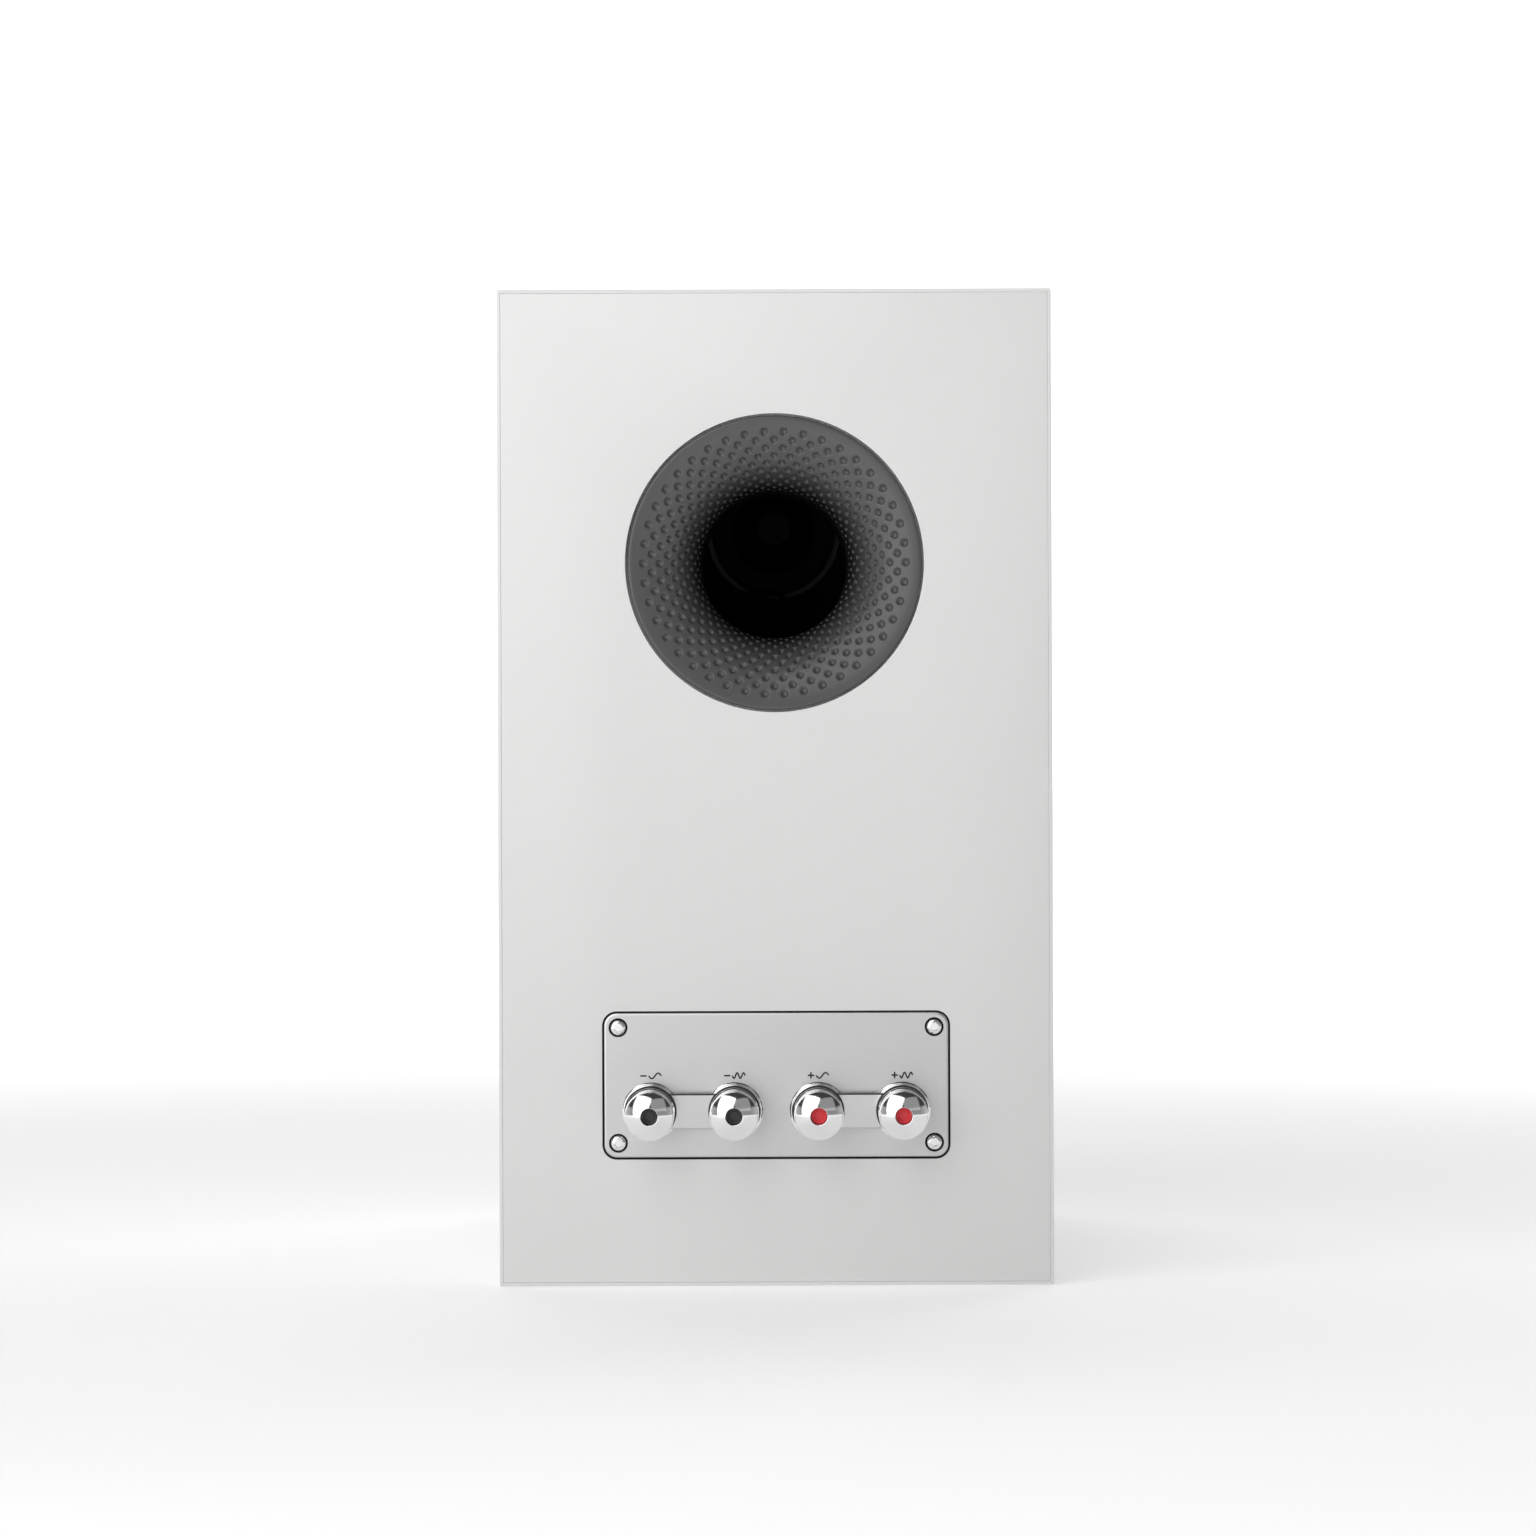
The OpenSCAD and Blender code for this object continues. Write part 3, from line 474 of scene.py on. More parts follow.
def boolean(solid, tool, operation="DIFFERENCE"):
    """solid with tool taken away from it, added to it or kept in common with it."""
    objects = []
    for label, bm in (("solid", solid), ("tool", tool)):
        mesh = bpy.data.meshes.new(label)
        bm.to_mesh(mesh)
        bm.free()
        one = bpy.data.objects.new(label, mesh)
        bpy.context.scene.collection.objects.link(one)
        objects.append(one)
    change = objects[0].modifiers.new("cut", "BOOLEAN")
    change.operation = operation
    change.solver = "EXACT"
    change.object = objects[1]
    graph = bpy.context.evaluated_depsgraph_get()
    result = bpy.data.meshes.new_from_object(objects[0].evaluated_get(graph))
    out = bmesh.new()
    out.from_mesh(result)
    bpy.data.meshes.remove(result)
    for one in objects:
        mesh = one.data
        bpy.data.objects.remove(one)
        bpy.data.meshes.remove(mesh)
    return out


def piece(name, bm, body, slot, stands_for=(), sharp=32, blended=False):
    """Makes a shown piece from a bmesh, with edges sharper than an angle kept crisp."""
    limit = math.radians(sharp)
    for face in bm.faces:
        face.smooth = True
    for edge in bm.edges:
        if len(edge.link_faces) == 2 and edge.calc_face_angle(0) > limit:
            edge.smooth = False
    mesh = bpy.data.meshes.new(name)
    bm.to_mesh(mesh)
    bm.free()
    made = bpy.data.objects.new(name, mesh)
    bpy.context.scene.collection.objects.link(made)
    mesh.materials.append(MATERIALS[slot])
    if not blended:
        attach(made, body)
    if stands_for:
        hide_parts(*stands_for)
    return made


def carried_over():
    """Gives each CAD node that still shows the material of its slot."""
    slots = {row["node"]: row["material_slot"] for row in frame["record"]["subparts"]}
    for name, node in frame["nodes"].items():
        if node.hide_render:
            continue
        node.data.materials.clear()
        node.data.materials.append(MATERIALS[slots[name]])


# ---------- cabinet ----------


def wrap_loop(inset, y, corner=0.7, steps=8):
    """A rounded rectangle in X and Z, moved in from the cabinet's outside."""
    radius = max(corner - inset, 0.001)
    outline = rounded_box(2 * (HALF_W - inset), HEIGHT - 2 * inset, radius, steps)
    return [(x, y, z + HEIGHT / 2) for x, z in outline]


def wrap_tube():
    """The four wrap panels as one tube, with its lip round the rear panel."""
    front = BAFFLE_BACK_Y
    stations = [
        (0.35, front), (0, front + 0.35), (0, REAR_Y - 0.35), (0.1, REAR_Y - 0.1), (0.35, REAR_Y),
        (LIP - 0.1, REAR_Y), (LIP, REAR_Y - 0.1), (LIP, RECESS_Y), (WALL, RECESS_Y), (WALL, front),
    ]
    return loft([wrap_loop(inset, y) for inset, y in stations], ring=True)


def half_space(bm, point, normal):
    """Cuts a solid by a plane, keeps the side that the normal points away from, and closes it."""
    geometry = bm.verts[:] + bm.edges[:] + bm.faces[:]
    cut = bmesh.ops.bisect_plane(
        bm, geom=geometry, plane_co=Vector(point) * MM, plane_no=normal, clear_outer=True, dist=1e-7)
    edges = [e for e in cut["geom_cut"] if isinstance(e, bmesh.types.BMEdge)]
    bmesh.ops.contextual_create(bm, geom=edges)


def wrap_panels():
    """Mitred side, top and bottom panels."""
    left, right, top = -HALF_W, HALF_W, HEIGHT
    corners = {"bl": (left, 0, 0), "br": (right, 0, 0), "tl": (left, 0, top), "tr": (right, 0, top)}
    cuts = {
        "left_side": (("bl", (1, 0, -1)), ("tl", (1, 0, 1))),
        "right_side": (("br", (-1, 0, -1)), ("tr", (-1, 0, 1))),
        "top": (("tl", (-1, 0, -1)), ("tr", (1, 0, -1))),
        "bottom": (("bl", (-1, 0, 1)), ("br", (1, 0, 1))),
    }
    for side, planes in cuts.items():
        bm = wrap_tube()
        for corner, normal in planes:
            half_space(bm, corners[corner], Vector(normal).normalized())
        if side == "bottom":
            for x, y in BASE_INSERTS:
                well = Matrix.Translation(Vector((x, y, -1)) * MM) @ UPRIGHT
                bm = boolean(bm, cylinder(4.55, 0, 13.5, well))
        bmesh.ops.recalc_face_normals(bm, faces=bm.faces)
        piece(f"{side}_wrap", bm, "cabinet", "cabinet_white", [f"{side}_panel"])


def rear_panel():
    """The panel inside the lip, opened for the port, the terminal plate and the posts."""
    gap, through = 0.05, 17
    seat_r, seat_depth, bore_r = 51.75, 4.02, 44
    outline = rounded_box(2 * (HALF_W - LIP - gap), HEIGHT - 2 * (LIP + gap), 0.3, 3)
    place = facing_back(0, REAR_Y, HEIGHT / 2)
    bm = slab(outline, RECESS_Y - REAR_Y, 0, place, edge=0.12)
    opening = rounded([
        (0, 1), (52.2, 1), (52.2, 0.0), (seat_r, 0, 0.15), (seat_r, -seat_depth),
        (bore_r, -seat_depth), (bore_r, -through), (0, -through)], 5)
    bm = boolean(bm, lathe(opening, AT_PORT, 192))
    rebate = rounded_box(120.6, 51.4, 5.1, 10)
    bm = boolean(bm, slab(rebate, -3.7, 1, AT_PLATE))
    bm = boolean(bm, slab(rounded_box(101.6, 17, 4), -through, -3, AT_POST_SLOT))
    piece("rear_face_panel", bm, "cabinet", "cabinet_white", ["rear_panel"], sharp=28)


def baffle_profile(inset, steps=72):
    """The baffle's outline in X and Y: flat behind, a shallow arc in front, rounded where they meet."""
    half = HALF_W - inset
    crown, sag, corner, nick = TRIM_Y + 3, 9, 1.6, 0.35
    radius = (HALF_W**2 + sag**2) / (2 * sag)
    front = []
    for k in range(steps + 1):
        x = (half - corner) * (1 - 2 * k / steps)
        front.append((x, crown + inset + radius - math.sqrt(radius**2 - x**2)))
    edge_y = front[0][1]
    right = [(half - corner + corner * math.sin(a), edge_y + corner * (1 - math.cos(a)))
             for a in (math.radians(90 - 11.25 * k) for k in range(8))]
    left = [(-x, y) for x, y in reversed(right)]
    back = BAFFLE_BACK_Y
    behind = [(-half, back - nick), (-half + nick, back), (half - nick, back), (half, back - nick)]
    return [*behind, *right, *front, *left]


def unpainted(made, outward, level):
    """Leaves bare the flat faces of a panel that look into the cabinet at one level along an axis. The bare
    board is near black, painted shade for the dark inside of the cabinet.
    """
    made.data.materials.append(MATERIALS["bare_board"])
    outward = Vector(outward)
    for face in made.data.polygons:
        if face.normal.dot(outward) > 0.9 and abs(face.center.dot(outward) / MM - level) < 1:
            face.material_index = 1


def front_baffle():
    """The curved board, with a round pod and a stepped opening for each drive unit."""
    stations = [(1.4, 0), (0.4, 0.4), (0, 1.4), (0, HEIGHT - 1.4), (0.4, HEIGHT - 0.4), (1.4, HEIGHT)]
    loops = [[(x, y, z) for x, y in baffle_profile(inset)] for inset, z in stations]
    bm = loft(loops)
    pod = rounded([(0, 0), (88, 0, 1.6), (88, 13), (0, 13)], 6)
    bm = boolean(bm, lathe(pod, AT_WOOFER, 192), "UNION")
    pod = rounded([(0, 0), (40.5, 0, 1.6), (40.5, 13), (0, 13)], 6)
    bm = boolean(bm, lathe(pod, AT_TWEETER, 160), "UNION")
    opening = [(0, -3), (85.6, -3), (85.6, 0), (82.7, 0.0), (82.7, 6), (72, 6), (72, 33), (0, 33)]
    bm = boolean(bm, lathe(opening, AT_WOOFER, 192))
    opening = [(0, -3), (38.2, -3), (38.2, 4), (26, 4), (26, 31), (0, 31)]
    bm = boolean(bm, lathe(opening, AT_TWEETER, 160))
    made = piece("front_baffle_board", bm, "cabinet", "cabinet_white", ["front_baffle"], sharp=28)
    unpainted(made, (0, 1, 0), BAFFLE_BACK_Y)


# ---------- reflex port ----------


MOUTH, THROAT = 51.0, 26.0
# The radius of the curve from the mouth's face to the bore.
FLARE = MOUTH - THROAT
PER_RING, RINGS = 42, 14
FIRST_RING, RING_STEP = 5.55, 3.02
# The first ring's dimples; those nearer the throat are smaller.
DIMPLE_R, DIMPLE_DEPTH, DIMPLE_RING = 1.4, 1.1, 45.5


def flare_stations():
    """Distances along the flare's curve at which it gets a row of points, closest over the dimples."""
    last_ring = FIRST_RING + RING_STEP * (RINGS - 1)
    straight = 17.0
    return np.unique(np.concatenate([
        [0.0, 0.25, 0.6, 1.2, 2.4, 3.4],
        np.arange(3.8, last_ring + 2, 0.33),
        [last_ring + RING_STEP, FLARE * math.pi / 2 + straight],
    ]))


def dimple_depths(along_rows, around):
    """How far each point of the flare is sunk: round dimples, alternate rings half a step over."""
    sink = np.zeros((len(along_rows), len(around)))
    for k in range(RINGS):
        along = FIRST_RING + RING_STEP * k
        ring_radius = MOUTH - FLARE * math.sin(min(along / FLARE, math.pi / 2))
        size = DIMPLE_R * (ring_radius / DIMPLE_RING) ** 0.62
        turn = around * PER_RING / TAU - 0.5 * (k % 2)
        across = (turn - np.round(turn)) * TAU / PER_RING * ring_radius
        distance = np.sqrt((along_rows[:, None] - along) ** 2 + across[None, :] ** 2) / size
        dish = DIMPLE_DEPTH * np.clip(1 - distance**2, 0, 1) ** 0.6
        # A low swelling round the edge of each dimple.
        rim = 0.04 * np.exp(-((distance - 1.06) / 0.12) ** 2)
        sink = np.maximum(sink, np.where(distance < 1, dish, 0)) - np.where(distance > 0.98, rim, 0)
    return sink


def port_flare():
    """The flared mouth, its inner face covered by rings of round dimples."""
    samples = 20
    columns = PER_RING * samples
    rows = flare_stations()
    angle = np.minimum(rows / FLARE, math.pi / 2)
    radius = MOUTH - FLARE * np.sin(angle)
    depth = FLARE * (1 - np.cos(angle)) + np.maximum(rows - FLARE * math.pi / 2, 0)
    # A small roll at the very edge of the mouth.
    depth[0] = 0.6
    depth[1] = 0.2
    around = np.arange(columns) * TAU / columns
    sink = dimple_depths(rows, around)
    radial = radius[:, None] + sink * np.sin(angle)[:, None]
    sunk = depth[:, None] + sink * np.cos(angle)[:, None]
    inner = [list(zip(radial[k] * np.cos(around), radial[k] * np.sin(around), -sunk[k]))
             for k in range(len(rows))]
    back = 45.0
    inner[-1] = [(x, y, -back) for x, y, _ in inner[-1]]
    outer = [(27.3, -back), (27.3, -36), (28.5, -36), (28.5, -25), (29.2, -19), (31.2, -13), (34.5, -8.5),
             (38.5, -5.5), (43.8, -4), (MOUTH, -4), (MOUTH, -0.8)]
    skirt = [list(zip(r * np.cos(around), r * np.sin(around), np.full(columns, h))) for r, h in outer]
    bm = loft(inner + skirt, AT_PORT, ring=True)
    piece("dimpled_port_flare", bm, "cabinet", "port_plastic", ["port_flare"], sharp=50)


# ---------- terminal plate and posts ----------


def terminal_plate():
    """A bevelled plate with a counterbore at each screw and a hole at each post."""
    bm = slab(rounded_box(119.4, 50.2, 4.5, 12), -2.7, -0.2, AT_PLATE, edge=0.8)
    counterbore = rounded([(0, 1), (3.3, 1), (3.3, -1.6), (1.75, -1.6), (1.75, -4), (0, -4)], 3)
    for x, y in PLATE_SCREWS:
        bm = boolean(bm, lathe(counterbore, AT_PLATE @ Matrix.Translation((x, y, 0)), 64))
    for name in POSTS:
        bm = boolean(bm, lathe([(0, 1), (5.1, 1), (5.1, -4), (0, -4)], at_post(name), 64))
    piece("bevelled_terminal_plate", bm, "cabinet", "plate_metal", ["terminal_plate"], sharp=20)


def plate_seal():
    """A black gasket under the plate, with a lip in the gap round it and a thin black washer under each
    screw, whose dark ring round the head stands in for shade in the counterbore.
    """
    sheet = rounded_box(120.5, 51.3, 5.05, 10)
    bed = slab(sheet, -3.68, -2.72, AT_PLATE)
    bed = boolean(bed, slab(rounded_box(101.4, 17.2, 4), -5, 0, AT_POST_SLOT))
    lip = slab(sheet, -3.2, -1.3, AT_PLATE)
    lip = boolean(lip, slab(rounded_box(119.5, 50.3, 4.55, 12), -5, 0, AT_PLATE))
    shade_washers = []
    for x, y in PLATE_SCREWS:
        spot = AT_PLATE @ Matrix.Translation((x, y, 0))
        bed = boolean(bed, lathe([(0, 0), (2.2, 0), (2.2, -5), (0, -5)], spot, 48))
        # Black washers under the screw heads: a dark ring that stands in for the shade in each counterbore.
        shade_washers.append(lathe([(1.8, -1.58), (3.25, -1.58), (3.25, -1.45), (1.8, -1.45)], spot, 48))
    seal = joined(boolean(bed, lip, "UNION"), *shade_washers)
    piece("plate_seal", seal, "cabinet", "seal_rubber", ["terminal_gasket"])


def stroke(points, width, height, place):
    """A flat raised line along a list of points."""
    bm = bmesh.new()
    rows = []
    for i, point in enumerate(points):
        here = Vector(point)
        ahead = Vector(points[min(i + 1, len(points) - 1)]) - Vector(points[max(i - 1, 0)])
        side = Vector((-ahead.y, ahead.x)).normalized() * width / 2
        corners = ((here + side, 0), (here - side, 0), (here - side, height), (here + side, height))
        rows.append([bm.verts.new(place @ Vector((p.x, p.y, z))) for p, z in corners])
    for a, b in zip(rows, rows[1:]):
        for i in range(4):
            bm.faces.new((a[i], a[(i + 1) % 4], b[(i + 1) % 4], b[i]))
    bm.faces.new(rows[0])
    bm.faces.new(rows[-1])
    bmesh.ops.recalc_face_normals(bm, faces=bm.faces)
    return bm


def post_mark(name):
    """A polarity sign and, beside it, one slow wave for the low range or two for the high range."""
    centre = middle(f"post_knob_{name}")
    place = facing_back(centre.x, REAR_Y - 0.21, centre.z + 12.1)
    # Seen from behind, local +X is to the left.
    sign_x, wave_x, bar, swing, length = 2.5, 0.7, 1.1, 0.95, 4.4
    sign_width, wave_width, height, steps = 0.55, 0.52, 0.03, 48
    strokes = [stroke([(sign_x - bar, 0), (sign_x + bar, 0)], sign_width, height, place)]
    if name.endswith("plus"):
        strokes.append(stroke([(sign_x, -bar), (sign_x, bar)], sign_width, height, place))
    cycles = 1 if name.startswith("lf") else 2
    wave = [(wave_x - length * k / steps, swing * math.sin(TAU * cycles * k / steps))
            for k in range(steps + 1)]
    strokes.append(stroke(wave, wave_width, height, place))
    return strokes


def plate_marks():
    strokes = [one for name in POSTS for one in post_mark(name)]
    made = piece("plate_marks", joined(*strokes), "cabinet", "seal_rubber")
    made.data.materials.clear()
    ink = moulded("mark_ink", (0.008, 0.008, 0.008), 0.6, grain_mm=0.3, depth_mm=0.002)
    made.data.materials.append(ink)


def hexagon(radius):
    """Outline of a hexagon, by the distance of its corners."""
    return [(radius * math.cos(TAU * k / 6), radius * math.sin(TAU * k / 6)) for k in range(6)]


def button_screw(place):
    """A domed head with a hexagon socket, on a plain shank."""
    seat, head_r, shank_r, dome_r, height = -1.4, 2.8, 1.2, 1.3, 1.78
    profile = [(0, seat - 11), (shank_r, seat - 11), (shank_r, seat)]
    profile += [(head_r - 0.1, seat, 0.1), (head_r, seat + 0.5)]
    profile += arc(head_r - dome_r, seat + 0.45, dome_r, 6, 80, 7)
    profile += [(1.45, seat + height), (0, seat + height)]
    head = lathe(rounded(profile, 3), place, 64)
    socket = slab(hexagon(1.6), seat + 0.4, seat + 4, place @ Matrix.Rotation(0.3, 4, "Z"))
    return boolean(head, socket)


def terminal_screws():
    screws = [button_screw(AT_PLATE @ Matrix.Translation((x, y, 0))) for x, y in PLATE_SCREWS]
    piece("plate_button_screws", joined(*screws), "cabinet", "screw_steel", ["terminal_screws"])


def post_collars():
    """Stepped rings on the plate, one under each post."""
    profile = rounded([
        (3.1, -0.2), (9.9, -0.2), (9.9, 0.5, 0.2), (9.4, 0.9, 0.2), (9.15, 0.9, 0.1), (9.15, 2.3, 0.35),
        (3.1, 2.3)], 4)
    rings = [lathe(profile, at_post(name), 112) for name in POSTS]
    piece("stepped_post_collars", joined(*rings), "cabinet", "post_chrome", ["post_collars"])


def link_straps():
    """A flat strap across each pair of posts, its front rim chamfered."""
    length, width, low, high = 41.3, 12.3, 2.4, 3.9
    parts = []
    for side in (-1, 1):
        place = facing_back(side * POST_PITCH, REAR_Y, middle("post_knob_lf_minus").z)
        outline = rounded_box(length, width, 6.0, 16)
        plate = slab(outline, low, high, place, edge=0.55, back_edge=0.2, belly=0.5)
        for x in (-POST_PITCH / 2, POST_PITCH / 2):
            hole = place @ Matrix.Translation((x, 0, 0))
            plate = boolean(plate, lathe([(0, 5), (3.2, 5), (3.2, 1), (0, 1)], hole, 48))
        parts.append(plate)
    piece("brushed_link_straps", joined(*parts), "cabinet", "strap_metal", ["link_straps"])


def clamp_washer(name):
    """The ring that a knob presses on the strap, in black plastic that stands in for the dark band of shade
    round each post behind its knob.
    """
    profile = rounded([(3.12, 3.97), (8.4, 3.97, 0.3), (9, 4.6, 0.3), (9, 5.8, 0.3), (8.4, 6.38, 0.2),
                       (3.12, 6.38)], 4)
    ring = lathe(profile, at_post(name), 112)
    # Black plastic here is painted shade: the dark band round each post behind the knob.
    piece(f"moulded_clamp_ring_{name}", ring, f"clamp_{name}", "bushing_plastic", [f"clamp_washer_{name}"])


def post_knob(name):
    """A rim, a narrow waist and a flared barrel with a domed end."""
    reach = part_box(f"post_knob_{name}")[1].y / MM - REAR_Y
    radius, dome, hole, waist = 8.5, 11.8, 2.92, 7.3
    centre = reach - math.sqrt(dome**2 - hole**2)
    edge_angle = math.degrees(math.acos((radius - 0.35) / dome))
    hole_angle = math.degrees(math.acos(hole / dome))
    shoulder = centre + dome * math.sin(math.radians(edge_angle))
    profile = rounded([
        (3.1, 6.52), (radius - 0.5, 6.52, 0.3), (radius, 7.1, 0.3), (radius, 8.3, 0.3),
        (radius - 0.5, 8.75, 0.3), (waist, 10.2, 0.8), (waist, 11.2, 0.8),
        (radius, shoulder - 3.2, 3), (radius, shoulder - 0.25, 0.2),
    ], 6)
    profile += arc(0, centre, dome, edge_angle + 0.6, hole_angle - 0.8, 40)
    profile += [(hole + 0.04, reach - 0.1), (hole, reach - 0.25), (hole, reach - 5.4), (3.1, reach - 5.4)]
    knob = lathe(profile, at_post(name), 128)
    piece(f"domed_knob_{name}", knob, f"knob_{name}", "post_chrome", [f"post_knob_{name}"], sharp=40)


def socket_plug(name):
    """A plug with a thin shank and a wider end, dished in front."""
    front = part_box(f"socket_plug_{name}")[1].y / MM - REAR_Y
    shank_r, end_r, back, dish = 1.88, 2.8, 9.2, 0.5
    profile = rounded([
        (0, back), (1.4, back), (shank_r, back + 0.7, 0.3), (shank_r, front - 4.7),
        (end_r, front - 4.7), (end_r, front, 0.35), (1.9, front, 0.15), (1.6, front - dish, 0.2),
        (0, front - dish)], 4)
    slot = "plug_black" if name.endswith("minus") else "plug_red"
    plug = lathe(profile, at_post(name), 96)
    piece(f"dished_plug_{name}", plug, f"plug_{name}", slot, [f"socket_plug_{name}"])


# ---------- bass-midrange ----------


def woofer_ring_parts():
    """The trim ring and the gasket that holds the surround's rim."""
    trim = rounded([
        (73.4, 0.0), (73.4, -0.5, 0.2), (75.6, -1.98, 1.2), (84.2, -1.98, 0.7), (85, -1.1, 0.5),
        (85, 0)], 5)
    piece("satin_trim_ring", lathe(trim, AT_WOOFER, 256), "cabinet", "trim_metal", ["woofer_trim_ring"])
    gasket = rounded([(69, 3.66), (69, 2.8, 0.3), (73.2, 0.42, 0.3), (73.75, 0.42, 0.1), (73.75, 3.66)], 3)
    piece("moulded_gasket", lathe(gasket, AT_WOOFER, 256), "cabinet", "surround_rubber", ["woofer_gasket"])


def radial_blend(made):
    """Bakes a ring's placement into its mesh."""
    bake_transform(made)


def woofer_surround():
    """A half-roll of rubber from the basket's rim to the cone's."""
    lip, skin, roll, middle_r = 4.5, 0.8, 5.6, 62
    profile = [(73.7, lip), (73.7, lip - skin), (68.4, lip - skin)]
    profile += arc(middle_r, lip - skin, roll, 0, -180, 28)
    profile += [(55.6, lip - skin), (52.8, lip - skin - 0.05), (52.4, lip - 0.1), (52.8, lip), (57.2, lip)]
    profile += arc(middle_r, lip - skin, roll - skin, -180, 0, 28)
    profile += [(66.8, lip)]
    made = piece("half_roll_surround", lathe(profile, AT_WOOFER, 256), None, "surround_rubber",
                 ["woofer_surround"], blended=True)
    radial_blend(made)


def spider_height(r):
    """Depth of the spider's cloth at a radius: flat rims, with five corrugations between them."""
    rim, inner, outer, waves, swell = 35.9, 20, 43, 5, 1.3
    if not inner < r < outer:
        return rim
    return rim - swell * (1 - math.cos((r - inner) / (outer - inner) * waves * TAU)) / 2


def woofer_spider():
    """The corrugated cloth that centres the voice coil."""
    steps, first, span, cloth = 96, 16.0, 31.4, 0.6
    radii = [first + span * k / steps for k in range(steps + 1)]
    profile = [(r, spider_height(r)) for r in radii]
    profile += [(r, spider_height(r) - cloth) for r in reversed(radii)]
    made = piece("corrugated_spider", lathe(profile, AT_WOOFER, 128), None, "spider_cloth",
                 ["woofer_spider"], blended=True)
    radial_blend(made)


CONE_RIM, CONE_WIDTH = 52.5, 35.5


def cone_depth(r):
    """Depth of the cone's front face, a little steeper towards its neck."""
    return 4.6 + 22.9 * ((CONE_RIM - min(r, CONE_RIM)) / CONE_WIDTH) ** 1.12


def woofer_cone():
    """A thin cone whose rim lies on the surround and whose neck meets the voice coil."""
    steps, skin, neck, coil_end = 40, 1.2, 17, 31
    radii = [CONE_RIM - CONE_WIDTH * k / steps for k in range(steps + 1)]
    profile = [(56, 5.6), (56, 4.6)]
    profile += [(r, cone_depth(r)) for r in radii]
    profile += [(neck - 1, cone_depth(neck)), (neck - 1, coil_end), (neck, coil_end)]
    profile += [(r, cone_depth(r) + skin) for r in reversed(radii)]
    piece("woven_cone", lathe(profile, AT_WOOFER, 256), "woofer_diaphragm", "cone_weave", ["woofer_cone"])


def dust_cap():
    """A thin dome over the cone's neck."""
    rim, rise, skin = 20.5, 9.0, 0.8
    radius = (rim**2 + rise**2) / (2 * rise)
    centre = cone_depth(rim) - 0.1 - rise + radius
    half = math.degrees(math.asin(rim / radius))
    cap = arc(0, centre, radius, -90, -90 + half, 32)
    cap += [(rim - 0.5, cone_depth(rim) + 0.25)]
    cap += arc(0, centre, radius - skin, -90 + half - 2.2, -90, 24)
    dome = lathe(cap, AT_WOOFER, 192)
    piece("domed_dust_cap", dome, "woofer_diaphragm", "cap_plastic", ["woofer_dust_cap"])


# ---------- tweeter ----------


def tweeter_screw_places():
    """Where the faceplate's four screws go, on its diagonals."""
    reach = Matrix.Translation((33.5, 0, 0))
    return [AT_TWEETER @ Matrix.Rotation(math.radians(45 + 90 * k), 4, "Z") @ reach for k in range(4)]


def tweeter_faceplate():
    """A plate that dips to the dome in a shallow horn, countersunk for its screws."""
    horn = [(17.2, 4), (17.2, 2.2), (20, 2.2), (20, 1.6)]
    horn += arc(30, 17, 18, -123.75, -91, 20)
    horn += rounded([(31, -1), (37.2, -1, 0.5), (38, -0.2, 0.4), (38, 4)], 4)[1:]
    bm = lathe(horn, AT_TWEETER, 192)
    for spot in tweeter_screw_places():
        bm = boolean(bm, lathe([(0, -2), (2.45, -2), (2.45, 1.2), (1.3, 1.2), (1.3, 5), (0, 5)], spot, 48))
    piece("shallow_horn_plate", bm, "cabinet", "faceplate_metal", ["tweeter_faceplate"])


class PunchedDome:
    """A dome of hexagonal cells with a round hole in each, in two skins."""

    rim, rise, skin = 19.7, 5.4, 0.4
    pitch, hole, sides = 1.7, 0.62, 12
    radius = (rim**2 + rise**2) / (2 * rise)
    centre = 1.9 - rise + radius

    def __init__(self):
        self.bm = bmesh.new()
        self.known = {}

    def vertex(self, x, y, lift):
        """The vertex over (x, y), on the outer skin or lift millimetres inside it."""
        key = (round(x, 3), round(y, 3), lift)
        if key not in self.known:
            r = self.radius - lift
            height = self.centre - math.sqrt(max(r * r - x * x - y * y, 0))
            self.known[key] = self.bm.verts.new(AT_TWEETER @ Vector((x, y, height)))
        return self.known[key]

    def cell(self, cx, cy):
        outer, inner = [], []
        for k in range(self.sides):
            a = TAU * k / self.sides + math.pi / 6
            edge = self.pitch / 2 / math.cos((a + math.pi / 6) % (math.pi / 3) - math.pi / 6)
            outer.append((cx + edge * math.cos(a), cy + edge * math.sin(a)))
            inner.append((cx + self.hole * math.cos(a), cy + self.hole * math.sin(a)))
        for k in range(self.sides):
            j = (k + 1) % self.sides
            ring = [outer[k], outer[j], inner[j], inner[k]]
            top = [self.vertex(*p, 0.0) for p in ring]
            low = [self.vertex(*p, self.skin) for p in ring]
            self.bm.faces.new(top)
            self.bm.faces.new(low[::-1])
            self.bm.faces.new((top[3], top[2], low[2], low[3]))

    def close_rim(self):
        """Joins the two skins along the ragged outer edge."""
        keys = {v: k for k, v in self.known.items()}
        for edge in [e for e in self.bm.edges if e.is_boundary]:
            a, b = edge.verts
            if keys[a][2] != 0.0 or keys[b][2] != 0.0:
                continue
            lower = [self.known[(keys[v][0], keys[v][1], self.skin)] for v in (a, b)]
            self.bm.faces.new((a, b, lower[1], lower[0]))


